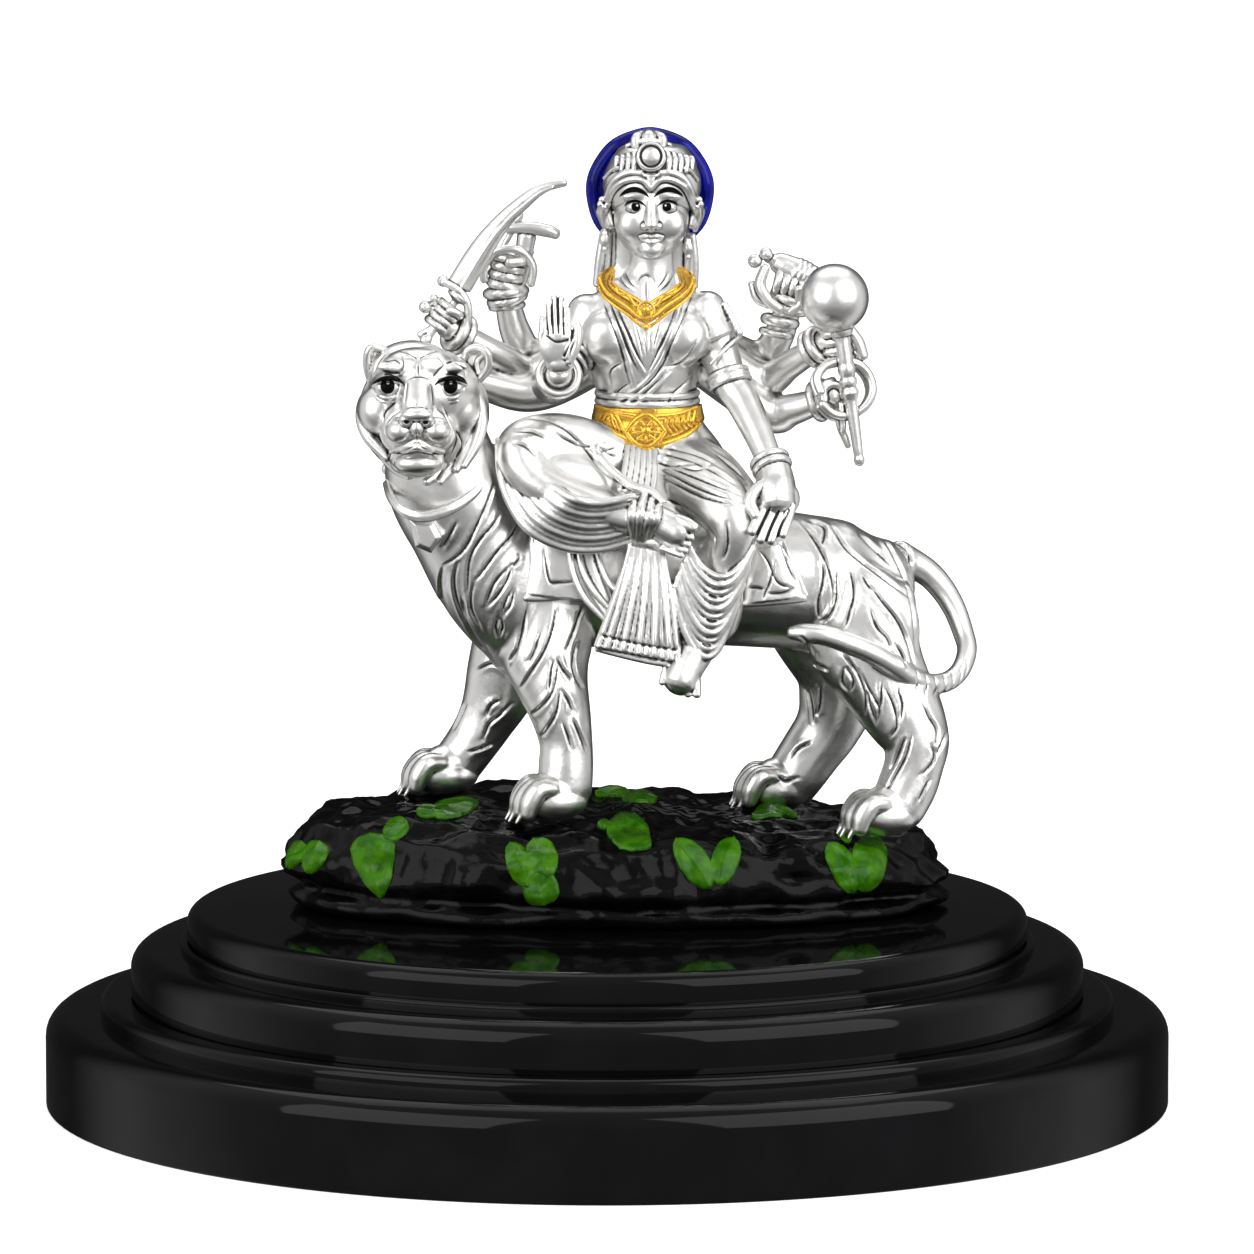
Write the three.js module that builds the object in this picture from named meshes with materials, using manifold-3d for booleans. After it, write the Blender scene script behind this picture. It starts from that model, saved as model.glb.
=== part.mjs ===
// A small eight-armed goddess seated sideways on a walking tiger, cast in one with the rocky
// ground it walks on, and standing on a round plinth of three steps. Millimetres, +Z up, the
// origin at the centre of the plinth's underside. The tiger walks towards -X and the goddess
// faces -Y.
import * as THREE from "three";
import { mergeVertices } from "three/addons/utils/BufferGeometryUtils.js";
import Module from "manifold-3d";

const wasm = await Module();
wasm.setup();

// Driving dimensions of the plinth. A bead and a fine recess part each step from the one above.
const bottomStep = { radius: 50, height: 8.2, rounding: 2 };
const middleStep = { radius: 42.4, height: 4, rounding: 1.8 };
const topStep = { radius: 37.4, height: 2.4, rounding: 1.2 };
const lowerBead = { projection: 2.7, height: 1.5 };
const upperBead = { projection: 0.6, height: 0.65 };
const recess = { depth: 0.4, height: 0.3 };
const plinthSides = 36;

// Driving dimension of the casting: from the plinth's top to the top of the halo.
const idolHeight = 69.5;

// Every place and size of the casting is written in hundredths of its height, from the middle
// of its flat underside.
const hundredth = idolHeight / 100;
const plinthTop =
  bottomStep.height +
  lowerBead.height +
  recess.height +
  middleStep.height +
  upperBead.height +
  recess.height +
  topStep.height;

const silver = new THREE.MeshStandardMaterial({ color: 0xd6d4d0, roughness: 0.3, metalness: 1 });
const blackLacquer = new THREE.MeshStandardMaterial({ color: 0x060607, roughness: 0.1 });

// Solids

function solidOf(geometry) {
  const bare = geometry.clone();
  bare.deleteAttribute("normal");
  bare.deleteAttribute("uv");
  const merged = mergeVertices(bare, 1e-4);
  return new wasm.Manifold(
    new wasm.Mesh({
      numProp: 3,
      vertProperties: new Float32Array(merged.attributes.position.array),
      triVerts: new Uint32Array(merged.index.array),
    }),
  );
}

function geometryOf(solid) {
  const mesh = solid.getMesh();
  const positions = new Float32Array(mesh.numVert * 3);
  for (let i = 0; i < mesh.numVert; i++) {
    for (let k = 0; k < 3; k++) positions[3 * i + k] = mesh.vertProperties[mesh.numProp * i + k];
  }
  const geometry = new THREE.BufferGeometry();
  geometry.setAttribute("position", new THREE.BufferAttribute(positions, 3));
  geometry.setIndex(new THREE.BufferAttribute(mesh.triVerts, 1));
  geometry.computeVertexNormals();
  return geometry;
}

const union = (solids) => solids.reduce((whole, piece) => whole.add(piece));

// Moves each vertex of a geometry by a function of its place.
function reshape(geometry, move) {
  const position = geometry.attributes.position;
  const point = new THREE.Vector3();
  for (let i = 0; i < position.count; i++) {
    point.fromBufferAttribute(position, i);
    move(point);
    position.setXYZ(i, point.x, point.y, point.z);
  }
  return geometry;
}

// Forms

const vector = (p) => new THREE.Vector3(p[0], p[1], p[2]);
const radians = THREE.MathUtils.degToRad;
const bothSides = (make) => [make(-1), make(1)];

// A value on the smooth line through the stations' values, at t from 0 to 1.
function along(values, t) {
  const curve = new THREE.SplineCurve(values.map((value, i) => new THREE.Vector2(i, value)));
  return curve.getPoint(t).y;
}

// A rounded limb through stations of [x, y, z, radius, depth radius]. The radius is across the
// view and the depth radius, when it is given, lies along Y. Its ends are low domes.
function limb(stations, sides = 6, steps = 4) {
  const curve = new THREE.CatmullRomCurve3(stations.map(vector), false, "centripetal");
  const radii = stations.map((s) => s[3]);
  const depths = stations.map((s) => s[4] ?? s[3]);
  const domeShare = 0.55;
  const rings = [];
  const across = new THREE.Vector3();
  for (let i = 0; i <= steps; i++) {
    const t = i / steps;
    const tangent = curve.getTangent(t);
    if (i === 0) {
      const reference = Math.abs(tangent.y) > 0.9 ? [0, 0, 1] : [0, 1, 0];
      across.crossVectors(vector(reference), tangent).normalize();
    } else {
      across.addScaledVector(tangent, -across.dot(tangent)).normalize();
    }
    rings.push({
      centre: curve.getPoint(t),
      tangent,
      across: across.clone(),
      deep: new THREE.Vector3().crossVectors(tangent, across),
      radius: along(radii, t),
      depth: along(depths, t),
    });
  }
  const geometry = new THREE.CylinderGeometry(1, 1, 1, sides, steps);
  reshape(geometry, (p) => {
    const row = Math.round((0.5 - p.y) * steps);
    const { centre, tangent, across: side, deep, radius, depth } = rings[row];
    const { x, z } = p;
    p.copy(centre);
    if (Math.hypot(x, z) < 0.5) {
      const way = row === 0 ? -1 : 1;
      p.addScaledVector(tangent, way * domeShare * Math.min(radius, depth));
    } else {
      p.addScaledVector(side, x * radius).addScaledVector(deep, z * depth);
    }
  });
  return solidOf(geometry);
}

// An egg of three half-sizes about a centre, tilted in the view and then turned about Z.
function egg(centre, [rx, ry, rz], { sides = 7, rows = 5, tilt = 0, turn = 0 } = {}) {
  const geometry = new THREE.SphereGeometry(1, sides, rows).rotateX(Math.PI / 2);
  geometry.scale(rx, ry, rz);
  geometry.rotateY(radians(tilt));
  geometry.rotateZ(radians(turn));
  geometry.translate(...centre);
  return solidOf(geometry);
}

// A closed cord through points.
function loop(points, wire, steps, sides = 4) {
  const curve = new THREE.CatmullRomCurve3(points.map(vector), true, "centripetal");
  return solidOf(new THREE.TubeGeometry(curve, steps, wire, sides, true));
}

// A turned form about an axis from foot to head, of [share of length, radius] pairs.
function turned(foot, head, profile, sides = 6) {
  const start = vector(foot);
  const axis = vector(head).sub(start);
  const length = axis.length();
  const outline = [[profile[0][0], 0], ...profile, [profile[profile.length - 1][0], 0]];
  const points = outline.map(([share, radius]) => new THREE.Vector2(radius, share * length));
  const geometry = new THREE.LatheGeometry(points, sides);
  const upright = new THREE.Vector3(0, 1, 0);
  geometry.applyQuaternion(new THREE.Quaternion().setFromUnitVectors(upright, axis.normalize()));
  geometry.translate(start.x, start.y, start.z);
  return solidOf(geometry);
}

// A flat plate of an outline drawn in the plane across Y, from one depth to another.
function plate(outline, front, back) {
  const shape = new THREE.Shape(outline.map(([x, z]) => new THREE.Vector2(x, z)));
  const geometry = new THREE.ExtrudeGeometry(shape, { depth: back - front, bevelEnabled: false });
  // The drawing's Y becomes Z, and its depth runs from back to front.
  geometry.rotateX(Math.PI / 2);
  geometry.translate(0, back, 0);
  return solidOf(geometry);
}

// The plinth

// A quarter round that ends on a level, from its outer edge inwards, as [radius, height] points.
function quarterRound(radius, top, size, steps) {
  return Array.from({ length: steps + 1 }, (_, i) => {
    const angle = ((Math.PI / 2) * i) / steps;
    return [radius - size * (1 - Math.cos(angle)), top - size * (1 - Math.sin(angle))];
  });
}

// Adds a step to the outline, from its foot to its top, and gives the height of its top.
function addStep(outline, step, foot) {
  const top = foot + step.height;
  outline.push([step.radius, foot], ...quarterRound(step.radius, top, step.rounding, 2));
  return top;
}

// Adds the rounded bead at the foot of a step and the recess over it, and gives the height
// where that step starts.
function addBead(outline, bead, stepAbove, foot) {
  const top = foot + bead.height;
  const radius = stepAbove.radius + bead.projection;
  const inner = stepAbove.radius - recess.depth;
  outline.push([radius, foot], ...quarterRound(radius, top, bead.height / 2, 1));
  outline.push([inner, top], [inner, top + recess.height]);
  return top + recess.height;
}

function plinth() {
  const outline = [[0, 0]];
  let z = addStep(outline, bottomStep, 0);
  z = addBead(outline, lowerBead, middleStep, z);
  z = addStep(outline, middleStep, z);
  z = addBead(outline, upperBead, topStep, z);
  z = addStep(outline, topStep, z);
  outline.push([0, z]);
  const points = outline.map(([r, height]) => new THREE.Vector2(r, height));
  const geometry = new THREE.LatheGeometry(points, plinthSides).rotateX(Math.PI / 2);
  return geometryOf(solidOf(geometry));
}

// The rocky ground

const rockHalf = { x: 42.4, y: 22.2 };
const rockCentreX = 1.2;

// [share of the half size, share of the ground's height], from the underside to the crown: a
// low ledge, and the boulder that overhangs it.
const rockProfile = [
  [0.95, 0],
  [1, 0.14],
  [0.95, 0.24],
  [1, 0.42],
  [0.95, 0.72],
  [0.76, 0.95],
  [0.4, 1],
];

// The share of the half size at a level up the rock's side.
function shareAt(level) {
  const above = rockProfile.findIndex(([, height]) => height > level);
  const [[lowShare, low], [highShare, high]] = rockProfile.slice(above - 1, above + 1);
  return THREE.MathUtils.mapLinear(level, low, high, lowShare, highShare);
}

// The ground falls to the tiger's tail and to the front.
const groundHeight = (x, y) => 12.7 - 0.035 * x + 0.045 * y;

// The swell and hollow of the rock at an angle round it, at one level.
const lumps = (angle, level) =>
  0.5 * Math.sin(5 * angle + 2 * level) +
  0.3 * Math.sin(9 * angle - 3 * level + 1) +
  0.2 * Math.sin(13 * angle + 4 * level + 2);

// Where the rock's surface lies, for a share of its half size and of the ground's height.
function rockPoint(angle, share, level) {
  const swell = 1 + 0.03 * lumps(angle, 4 * level);
  const x = rockCentreX + share * swell * rockHalf.x * Math.cos(angle);
  const y = share * swell * rockHalf.y * Math.sin(angle);
  const bump = share < 0.9 ? 0.7 * share * lumps(2 * angle, 5 * share) : 0;
  return new THREE.Vector3(x, y, level * (groundHeight(x, y) + bump));
}

function rock() {
  const outline = [[0, 0], ...rockProfile, [0, 1]];
  const points = outline.map(([share, level]) => new THREE.Vector2(share, level));
  const geometry = new THREE.LatheGeometry(points, 22).rotateX(Math.PI / 2);
  reshape(geometry, (p) => p.copy(rockPoint(Math.atan2(p.y, p.x), Math.hypot(p.x, p.y), p.z)));
  return solidOf(geometry);
}

// A pointed leaf pressed on the rock, at an angle round it from the right-hand end and at a
// level up its side. Its blade leans back, and its tip is swung in its own plane.
function leaf(degrees, level, length, { lean = 18, swing = 180, share = shareAt(level) } = {}) {
  const half = 0.4 * length;
  const blade = new THREE.Shape();
  blade.moveTo(0, -0.4 * length);
  blade.bezierCurveTo(1.3 * half, -0.62 * length, 1.3 * half, 0.1 * length, 0, 0.55 * length);
  blade.bezierCurveTo(-1.3 * half, 0.1 * length, -1.3 * half, -0.62 * length, 0, -0.4 * length);
  const thickness = 3;
  const geometry = new THREE.ExtrudeGeometry(blade, {
    depth: thickness,
    curveSegments: 3,
    bevelEnabled: false,
  });
  geometry.translate(0, 0, 0.8 - thickness);
  geometry.rotateZ(radians(swing));
  geometry.rotateX(radians(90 - lean));
  const angle = radians(degrees);
  const outwards = Math.atan2(Math.sin(angle) / rockHalf.y, Math.cos(angle) / rockHalf.x);
  geometry.rotateZ(outwards + Math.PI / 2);
  const place = rockPoint(angle, share, level);
  geometry.translate(place.x, place.y, place.z);
  return solidOf(geometry);
}

// Leaves round the side, then those lying on top.
function leaves() {
  return [
    leaf(231, 0.62, 9, { swing: 186 }),
    leaf(257, 0.6, 8.6, { swing: 200 }),
    leaf(281, 0.64, 8, { swing: 212 }),
    leaf(288, 0.66, 7.4, { swing: 150 }),
    leaf(311, 0.62, 7, { swing: 205 }),
    leaf(317, 0.66, 7.6, { swing: 165 }),
    leaf(200, 0.62, 6.6, { swing: 165 }),
    leaf(66, 0.6, 8, { swing: 194 }),
    leaf(272, 0.95, 6.6, { share: 0.8, lean: 55, swing: 100 }),
    leaf(205, 0.97, 8.4, { share: 0.66, lean: 75, swing: 96 }),
    leaf(92, 0.97, 8, { share: 0.62, lean: 66, swing: 90 }),
  ];
}

// The tiger

const tigerTorso = [
  [40.4, 0.6, 39.6, 3.6, 3.6],
  [34.8, 0.4, 41.4, 8.2, 9.2],
  [24, 0, 42.6, 8.5, 9.8],
  [11.8, 0, 43.2, 9.2, 9.8],
  [-2, -0.6, 44.2, 10.8, 10.4],
  [-11.3, -2, 45.4, 10.8, 9.8],
  [-15.6, -3.4, 46, 7.6, 7.4],
];

const tigerNeck = [
  [-22.3, -9.8, 63, 6.4, 5.4],
  [-20.8, -7.8, 54.6, 8, 7.2],
  [-17, -4.6, 46, 8.8, 8.6],
  [-11.6, -2.4, 35.4, 4.8, 6],
];

const nearForeleg = [
  [-7.6, -6.2, 42, 6.4, 4.6],
  [-7.7, -8, 34.4, 5.6, 4.4],
  [-6.2, -9.2, 26, 3.7, 3.6],
  [-4.8, -9.4, 19.8, 2.9, 3.1],
  [-4.9, -9.6, 15, 3.2, 3.2],
];

const farForeleg = [
  [-10.8, 6.2, 38.8, 5.6, 4.6],
  [-13.2, 7.2, 31, 4.9, 4.4],
  [-16.4, 7.8, 23.4, 3.7, 3.5],
  [-19.4, 7.6, 17.8, 3, 3.1],
  [-19.8, 7.4, 15.4, 3.1, 3.1],
];

const nearHindleg = [
  [32.2, -4.6, 41.6, 7.6, 5.4],
  [33.2, -6.2, 35.6, 7.2, 5.2],
  [36.6, -8, 27.6, 4.6, 4],
  [39.3, -8.8, 21.4, 3.2, 3.2],
  [37.8, -9.4, 16.4, 3, 3.1],
  [36.4, -9.6, 13, 3.1, 3.2],
];

const farHindleg = [
  [27.6, 5.4, 38.6, 7, 5.2],
  [27.6, 6.8, 32.2, 5.6, 4.6],
  [29.9, 7.6, 25.4, 4, 3.7],
  [28.6, 7.6, 20.4, 3.1, 3.2],
  [25.6, 7.4, 16.6, 3, 3.1],
  [24.2, 7.2, 14.4, 3.1, 3.1],
];

const tigerTail = [
  [36.8, 1.6, 44.8, 2.1],
  [41, 2.6, 43.2, 1.9],
  [45.2, 1.2, 37.6, 1.7],
  [44.4, -3.8, 31.8, 1.6],
  [39.6, -9, 30.2, 1.6],
  [33, -13, 33.6, 1.6],
  [27, -13.8, 36.8, 1.55],
  [23.6, -13.4, 37.3, 1.3],
];

// A paw about the middle of its pad, pointing to -X and turned about Z, its front edge in
// three toes.
function paw(centre, turn) {
  const geometry = new THREE.SphereGeometry(1, 12, 3).rotateX(Math.PI / 2);
  reshape(geometry, (p) => {
    const ahead = Math.max(0, -p.x);
    const toes = 1 + 0.16 * ahead * Math.cos(6 * Math.atan2(p.y, p.x));
    p.set(4.6 * p.x * toes - 0.8 * ahead, 3.3 * p.y * toes, 2.7 * p.z - 0.5 * ahead);
  });
  geometry.rotateZ(radians(turn));
  geometry.translate(...centre);
  return solidOf(geometry);
}

// The head, turned to the front, about the middle of its skull.
const tigerSkull = [-22.9, -12.2, 66.6];

function tigerHead() {
  const at = (x, y, z) => [tigerSkull[0] + x, tigerSkull[1] + y, tigerSkull[2] + z];
  const small = { sides: 4, rows: 3 };
  return [
    egg(at(0, 0, 0.6), [7, 6.6, 6.2], { sides: 8, rows: 5 }),
    egg(at(0.1, 1.6, -1.8), [8.9, 4.6, 7.6], { sides: 9, rows: 5 }),
    egg(at(-0.5, -7.2, -3.4), [4.5, 4.6, 3], { sides: 6, rows: 4 }),
    egg(at(-0.2, -5.2, -7), [3.7, 3.6, 2.3], { sides: 5, rows: 4 }),
    limb([[...at(-0.2, -5.2, 3.4), 1.9, 1.6], [...at(-0.4, -9.2, -1), 1.9, 1.4]], 4, 1),
    ...bothSides((s) => egg(at(-0.5 + s * 2.1, -9.6, -3.4), [2.3, 2.3, 2.2], small)),
    ...bothSides((s) => egg(at(-0.2 + s * 4.2, -5, 3.4), [2.6, 1.6, 1.3], small)),
    ...bothSides((s) => ear(at(s * 5.7, 1.4, 5.5), s)),
  ];
}

// A round ear, hollowed at the front and leaning outwards.
function ear([x, y, z], side) {
  const shell = egg([x, y, z], [2.4, 1.3, 2.6], { sides: 6, rows: 4, tilt: side * 24 });
  const hollow = egg([x, y - 1.4, z], [1.4, 1, 1.4], { sides: 4, rows: 3, tilt: side * 24 });
  return shell.subtract(hollow);
}

// The collar round the neck, and the flat pendant that hangs from it.
function collar() {
  const round = [
    [-28.6, -9.4, 56.6],
    [-27, -14, 52.8],
    [-22.4, -15.2, 51.4],
    [-15.8, -13, 54],
    [-11.8, -6, 57.6],
    [-14, 1.6, 60],
    [-21.6, 1.6, 60],
  ];
  const pendant = [
    [-24.8, 51],
    [-25, 47.6],
    [-22, 45.8],
    [-20.2, 48.4],
    [-20.8, 51],
  ];
  return [loop(round, 0.9, 8, 3), plate(pendant, -15.6, -10)];
}

// The saddle cloth: a panel on each flank, joined over the back.
function saddle() {
  const panel = [
    [-9.8, 52],
    [-9.8, 40.6],
    [24.8, 39.8],
    [25.4, 42],
    [23.6, 50],
    [20, 54],
  ];
  const overTheBack = [
    [-8, 0, 50, 5.6, 9.6],
    [7, 0, 50.4, 5, 9.6],
    [22.6, 0, 47.8, 4.4, 9],
  ];
  return [plate(panel, -11.2, -6), plate(panel, 6, 10.8), limb(overTheBack, 6, 2)];
}

function tiger() {
  return [
    limb(tigerTorso, 10, 7),
    limb(tigerNeck, 8, 4),
    ...[nearForeleg, farForeleg, nearHindleg, farHindleg].map((leg) => limb(leg, 6, 5)),
    paw([-6.9, -11, 14.8], 14),
    paw([-21.4, 6.2, 16], 8),
    paw([35, -11, 13], 14),
    paw([21.8, 6.2, 14.8], 8),
    limb(tigerTail, 5, 11),
    ...tigerHead(),
    ...collar(),
    ...saddle(),
  ];
}

// The goddess

const bodyX = 5.6;

const torso = [
  [bodyX, -1.4, 79, 4.4, 3.6],
  [bodyX, -1.6, 75.6, 8.2, 5],
  [bodyX, -2.2, 72, 8, 6],
  [bodyX, -2.1, 68.4, 7.1, 5.3],
  [bodyX, -1.8, 63.6, 6.5, 4.7],
  [bodyX, -2, 58.4, 8.2, 6],
  [bodyX + 0.4, -2.4, 54.6, 11, 7.6],
  [bodyX + 0.4, -2.4, 51, 12, 8.6],
];

function body() {
  const neck = [
    [bodyX, -1.6, 85, 3.1],
    [bodyX, -1.2, 81.4, 3.1],
    [bodyX, -1, 78, 4.2],
  ];
  return [
    limb(torso, 9, 7),
    limb(neck, 6, 1),
    ...bothSides((s) => egg([bodyX + s * 3.5, -6, 72.2], [3.4, 2.7, 3.1], { sides: 6, rows: 4 })),
  ];
}

// The head: an oval skull and jaw, a straight nose, lips, chin and ears, calm and unlined.
const faceCentre = [bodyX, -3, 90];

function head() {
  const at = (x, y, z) => [faceCentre[0] + x, faceCentre[1] + y, faceCentre[2] + z];
  const small = { sides: 4, rows: 3 };
  const sideLock = (s) => [
    [...at(s * 4.7, 1.6, -2), 1.2, 1.6],
    [...at(s * 5.6, 2, -12.4), 1.4, 1.4],
  ];
  const backHair = [
    [...at(0, 3, 1), 4.6, 2.8],
    [...at(0, 3.4, -10), 5, 2.2],
    [...at(0, 3.6, -22), 4, 1.6],
  ];
  return [
    egg(at(0, 0, 1.4), [5.4, 5.5, 5.7], { sides: 8, rows: 5 }),
    egg(at(0, -0.9, -2.2), [4.6, 4.6, 5], { sides: 7, rows: 5 }),
    limb([[...at(0, -5.1, 1), 0.5], [...at(0, -6, -1.5), 0.85]], 4, 1),
    egg(at(0, -5, -3.5), [1.6, 0.7, 0.6], small),
    ...bothSides((s) => egg(at(s * 2, -4.7, 0.7), [1.3, 0.8, 0.7], small)),
    ...bothSides((s) => egg(at(s * 5.2, 0.2, -2), [1, 1.3, 3], small)),
    ...bothSides((s) => limb(sideLock(s), 4, 1)),
    limb(backHair, 6, 2),
  ];
}

// The crown: a brow band, a coiled tier, a knob and the round jewel at the front.
function crown() {
  const at = (x, y, z) => [faceCentre[0] + x, faceCentre[1] + y, faceCentre[2] + z];
  const jewel = [
    [0, 1.8],
    [0.8, 1.8],
    [1, 1.1],
  ];
  return [
    egg(at(0, 0.5, 3.2), [6, 5.7, 3.7], { sides: 8, rows: 4 }),
    egg(at(0, 0.4, 5.2), [5, 4.9, 3.1], { sides: 7, rows: 4 }),
    egg(at(0, 0.2, 8), [2.4, 2.4, 1.8], { sides: 5, rows: 4 }),
    turned(at(0, -3.8, 4.5), at(0, -5.6, 4.9), jewel, 7),
  ];
}

// The halo: a disc behind the head, with a fluted edge.
const haloRadius = 8.5;

function halo() {
  const flutes = 10;
  const edge = 0.8;
  const profile = [
    [0, 1.7],
    [haloRadius - edge, 1.5],
    [haloRadius, 2.5],
    [haloRadius - edge, 3.5],
    [0, 3.5],
  ];
  const points = profile.map(([r, y]) => new THREE.Vector2(r, y));
  const geometry = new THREE.LatheGeometry(points, flutes * 2);
  reshape(geometry, (p) => {
    const wave = 1 - 0.015 * (1 - Math.cos(flutes * Math.atan2(p.z, p.x)));
    p.set(bodyX + p.x * wave, p.y, 100 - haloRadius + p.z * wave);
  });
  return solidOf(geometry);
}

// Arms, from shoulder to wrist

const leftArm = [
  [13.4, -1.2, 76, 3.4, 3.4],
  [16.2, -2.8, 69.6, 2.8, 2.8],
  [18.2, -5.6, 63.8, 2.4, 2.4],
  [20.8, -11.6, 58, 1.7, 1.7],
];

const rightArm = [
  [-1.6, -1.2, 76, 3.4, 3.4],
  [-4, -2.4, 70, 2.8, 2.8],
  [-7.4, -6, 66.4, 2.6, 2.6],
  [-7.2, -11.4, 67, 2.3, 2.3],
  [-6.2, -17.4, 69.6, 1.8, 1.8],
];

// Six more arms branch from behind the shoulders, three to a side.
const swordArm = [
  [-1.2, 2.4, 73.2, 2.6],
  [-9.2, 4.2, 68, 2.3],
  [-13, 2.2, 70, 1.8],
  [-18.8, -1.4, 73.6, 1.5],
];

const goadArm = [
  [0.4, 1.4, 74.6, 2.4],
  [-8.9, 7.2, 69.6, 2.3],
  [-10.9, 6.6, 72.8, 1.8],
  [-12.6, 5.8, 78, 1.5],
];

const hiddenArm = [
  [1.4, 0.6, 71, 2.6],
  [-9.2, 2.4, 65.6, 2.4],
  [-18, 0, 67.6, 1.8],
];

const conchArm = [
  [10.8, 1.4, 74.6, 2.4],
  [18.9, 7.2, 69.6, 2.3],
  [20.8, 6.6, 72.2, 1.8],
  [22.9, 5.8, 77, 1.5],
];

const maceArm = [
  [12.3, 2.4, 73, 2.6],
  [19.5, 4.2, 67.4, 2.3],
  [23.1, 2.2, 69.2, 1.8],
  [26.6, -0.4, 71.7, 1.5],
];

const nooseArm = [
  [9.8, 0.6, 71.2, 2.6],
  [20.2, 2.6, 63.8, 2.3],
  [23.3, 2, 64.2, 1.9],
  [27.3, 0.4, 65.2, 1.6],
];

// The bangle at the end of an arm, a band square to the wrist.
function bangle(arm, radius) {
  const width = 2;
  const [before, wrist] = arm.slice(-2).map(vector);
  const back = before.sub(wrist).setLength(width);
  const rim = [
    [0, radius],
    [1, radius],
  ];
  return turned(wrist.toArray(), wrist.clone().add(back).toArray(), rim, 6);
}

// A hand closed round a rod.
const fist = (centre, size = 1) =>
  egg(centre, [2.2, 2.2, 2.1].map((half) => half * size), { sides: 6, rows: 4 });

// The open right hand, its palm to the front: the palm's outline with its four fingers, and the
// thumb beside them.
function openHand() {
  const wrist = [-6.2, 69];
  const tips = [
    [-8.1, 77],
    [-6.7, 79],
    [-5.3, 79.4],
    [-4, 78.2],
  ];
  const gapDepth = 2.6;
  const finger = ([x, z]) => [
    [x - 0.6, z - 0.5],
    [x + 0.5, z],
  ];
  const gap = ([x, z], [nextX, nextZ]) => [(x + nextX) / 2, Math.min(z, nextZ) - gapDepth];
  const fingers = tips.flatMap((tip, i) =>
    i === 0 ? finger(tip) : [gap(tips[i - 1], tip), ...finger(tip)],
  );
  const outline = [
    [wrist[0] + 1.6, wrist[1]],
    [wrist[0] - 1.6, wrist[1]],
    [wrist[0] - 2.4, wrist[1] + 3.5],
    ...fingers,
    [wrist[0] + 2.8, wrist[1] + 5],
    [wrist[0] + 3.4, wrist[1] + 6.2],
    [wrist[0] + 2.6, wrist[1] + 2.4],
  ];
  return plate(outline.reverse(), -19, -17.2);
}

// The left hand laid on the knee, its fingers to the thigh.
function restingHand() {
  const back = [
    [20.9, -12, 57.6, 1.8],
    [21.3, -13.6, 55, 2.6, 2],
    [20.8, -15, 53, 2.5, 1.8],
  ];
  const fingers = [0, 1, 2].map((i) =>
    limb([[19.8 + 1.4 * i, -15.2, 53.6 - 0.3 * i, 0.9], [17.4 + 1.4 * i, -16.8, 49.8, 0.75]], 4, 1),
  );
  return [limb(back, 6, 2), ...fingers];
}

// A sleeve: the upper arm's first stretch, a cloth's thickness larger.
const sleeve = (arm) => limb(arm.slice(0, 2).map(([x, y, z, r]) => [x, y, z, r + 0.7]), 6, 1);

function arms() {
  const backArms = [swordArm, goadArm, hiddenArm, conchArm, maceArm, nooseArm];
  return [
    limb(leftArm, 6, 4),
    limb(rightArm, 6, 4),
    sleeve(leftArm),
    sleeve(rightArm),
    bangle(leftArm, 2.5),
    bangle(rightArm, 2.5),
    openHand(),
    ...restingHand(),
    ...backArms.map((arm) => limb(arm, 5, 3)),
  ];
}

// What the hands hold

function sword() {
  const blade = [
    [-17, 75.2],
    [-15.2, 80.2],
    [-13.2, 84],
    [-10.6, 87.6],
    [-7.6, 90.4],
    [-4.8, 92.2],
    [-5, 93.2],
    [-7.6, 92.8],
    [-12, 90],
    [-15.8, 85.6],
    [-18.8, 80.8],
    [-20.5, 76.4],
  ];
  const hilt = [
    [0, 0.8],
    [0.16, 0.8],
    [0.24, 0.5],
    [0.88, 0.5],
    [1, 1.8],
  ];
  return [
    plate(blade, -2.7, -1.5),
    turned([-23.6, -2.4, 70.6], [-19.2, -2.1, 76.4], hilt),
    limb([[-17.8, -2.2, 77.4, 0.6], [-17.4, -2.2, 71.6, 0.8]], 4, 1),
    fist([-20.8, -2.2, 74], 0.95),
  ];
}

function mace() {
  const shaft = [
    [0, 0.4],
    [0.06, 0.8],
    [0.52, 0.8],
    [0.58, 1.3],
    [0.66, 1.3],
    [0.72, 0.9],
    [0.9, 1],
    [1, 1.6],
  ];
  const ball = 4.35;
  return [
    egg([29.2, -3.6, 78.6], [ball, ball, ball], { sides: 9, rows: 6 }),
    turned([32.3, -3.6, 57.2], [29.4, -3.6, 75.6], shaft),
    fist([30, -3, 72], 1.05),
  ];
}

// The noose hangs in front of the lowest left hand, round the mace's shaft.
function noose() {
  const centre = [30.8, -2.4, 66];
  const radius = 3.3;
  const corners = 8;
  const round = Array.from({ length: corners }, (_, i) => {
    const angle = (2 * Math.PI * i) / corners;
    return [centre[0] + radius * Math.cos(angle), centre[1], centre[2] + radius * Math.sin(angle)];
  });
  return [loop(round, 0.65, 9, 3), fist([28.8, -1.6, 65.6], 0.9)];
}

function conch() {
  const shell = [
    [0, 0.5],
    [0.1, 1.1],
    [0.22, 0.8],
    [0.55, 2],
    [0.85, 1.4],
    [1, 0.5],
  ];
  return [
    turned([18.6, 5.2, 82.4], [28.2, 5.2, 79.8], shell),
    fist([23.1, 5.6, 78.4], 1.15),
  ];
}

function goad() {
  const hook = [
    [-13.2, 5.6, 86.8, 0.9],
    [-9.8, 5.6, 86.8, 1.1],
    [-6.2, 5.6, 86, 0.5],
  ];
  const handle = [
    [0, 0.8],
    [0.9, 0.8],
    [1, 0.5],
  ];
  return [
    turned([-12.2, 5.6, 78], [-9.8, 5.6, 87.6], handle),
    limb(hook, 4, 2),
    fist([-12.4, 5.6, 79.4], 1.15),
  ];
}

// Legs and cloth

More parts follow.
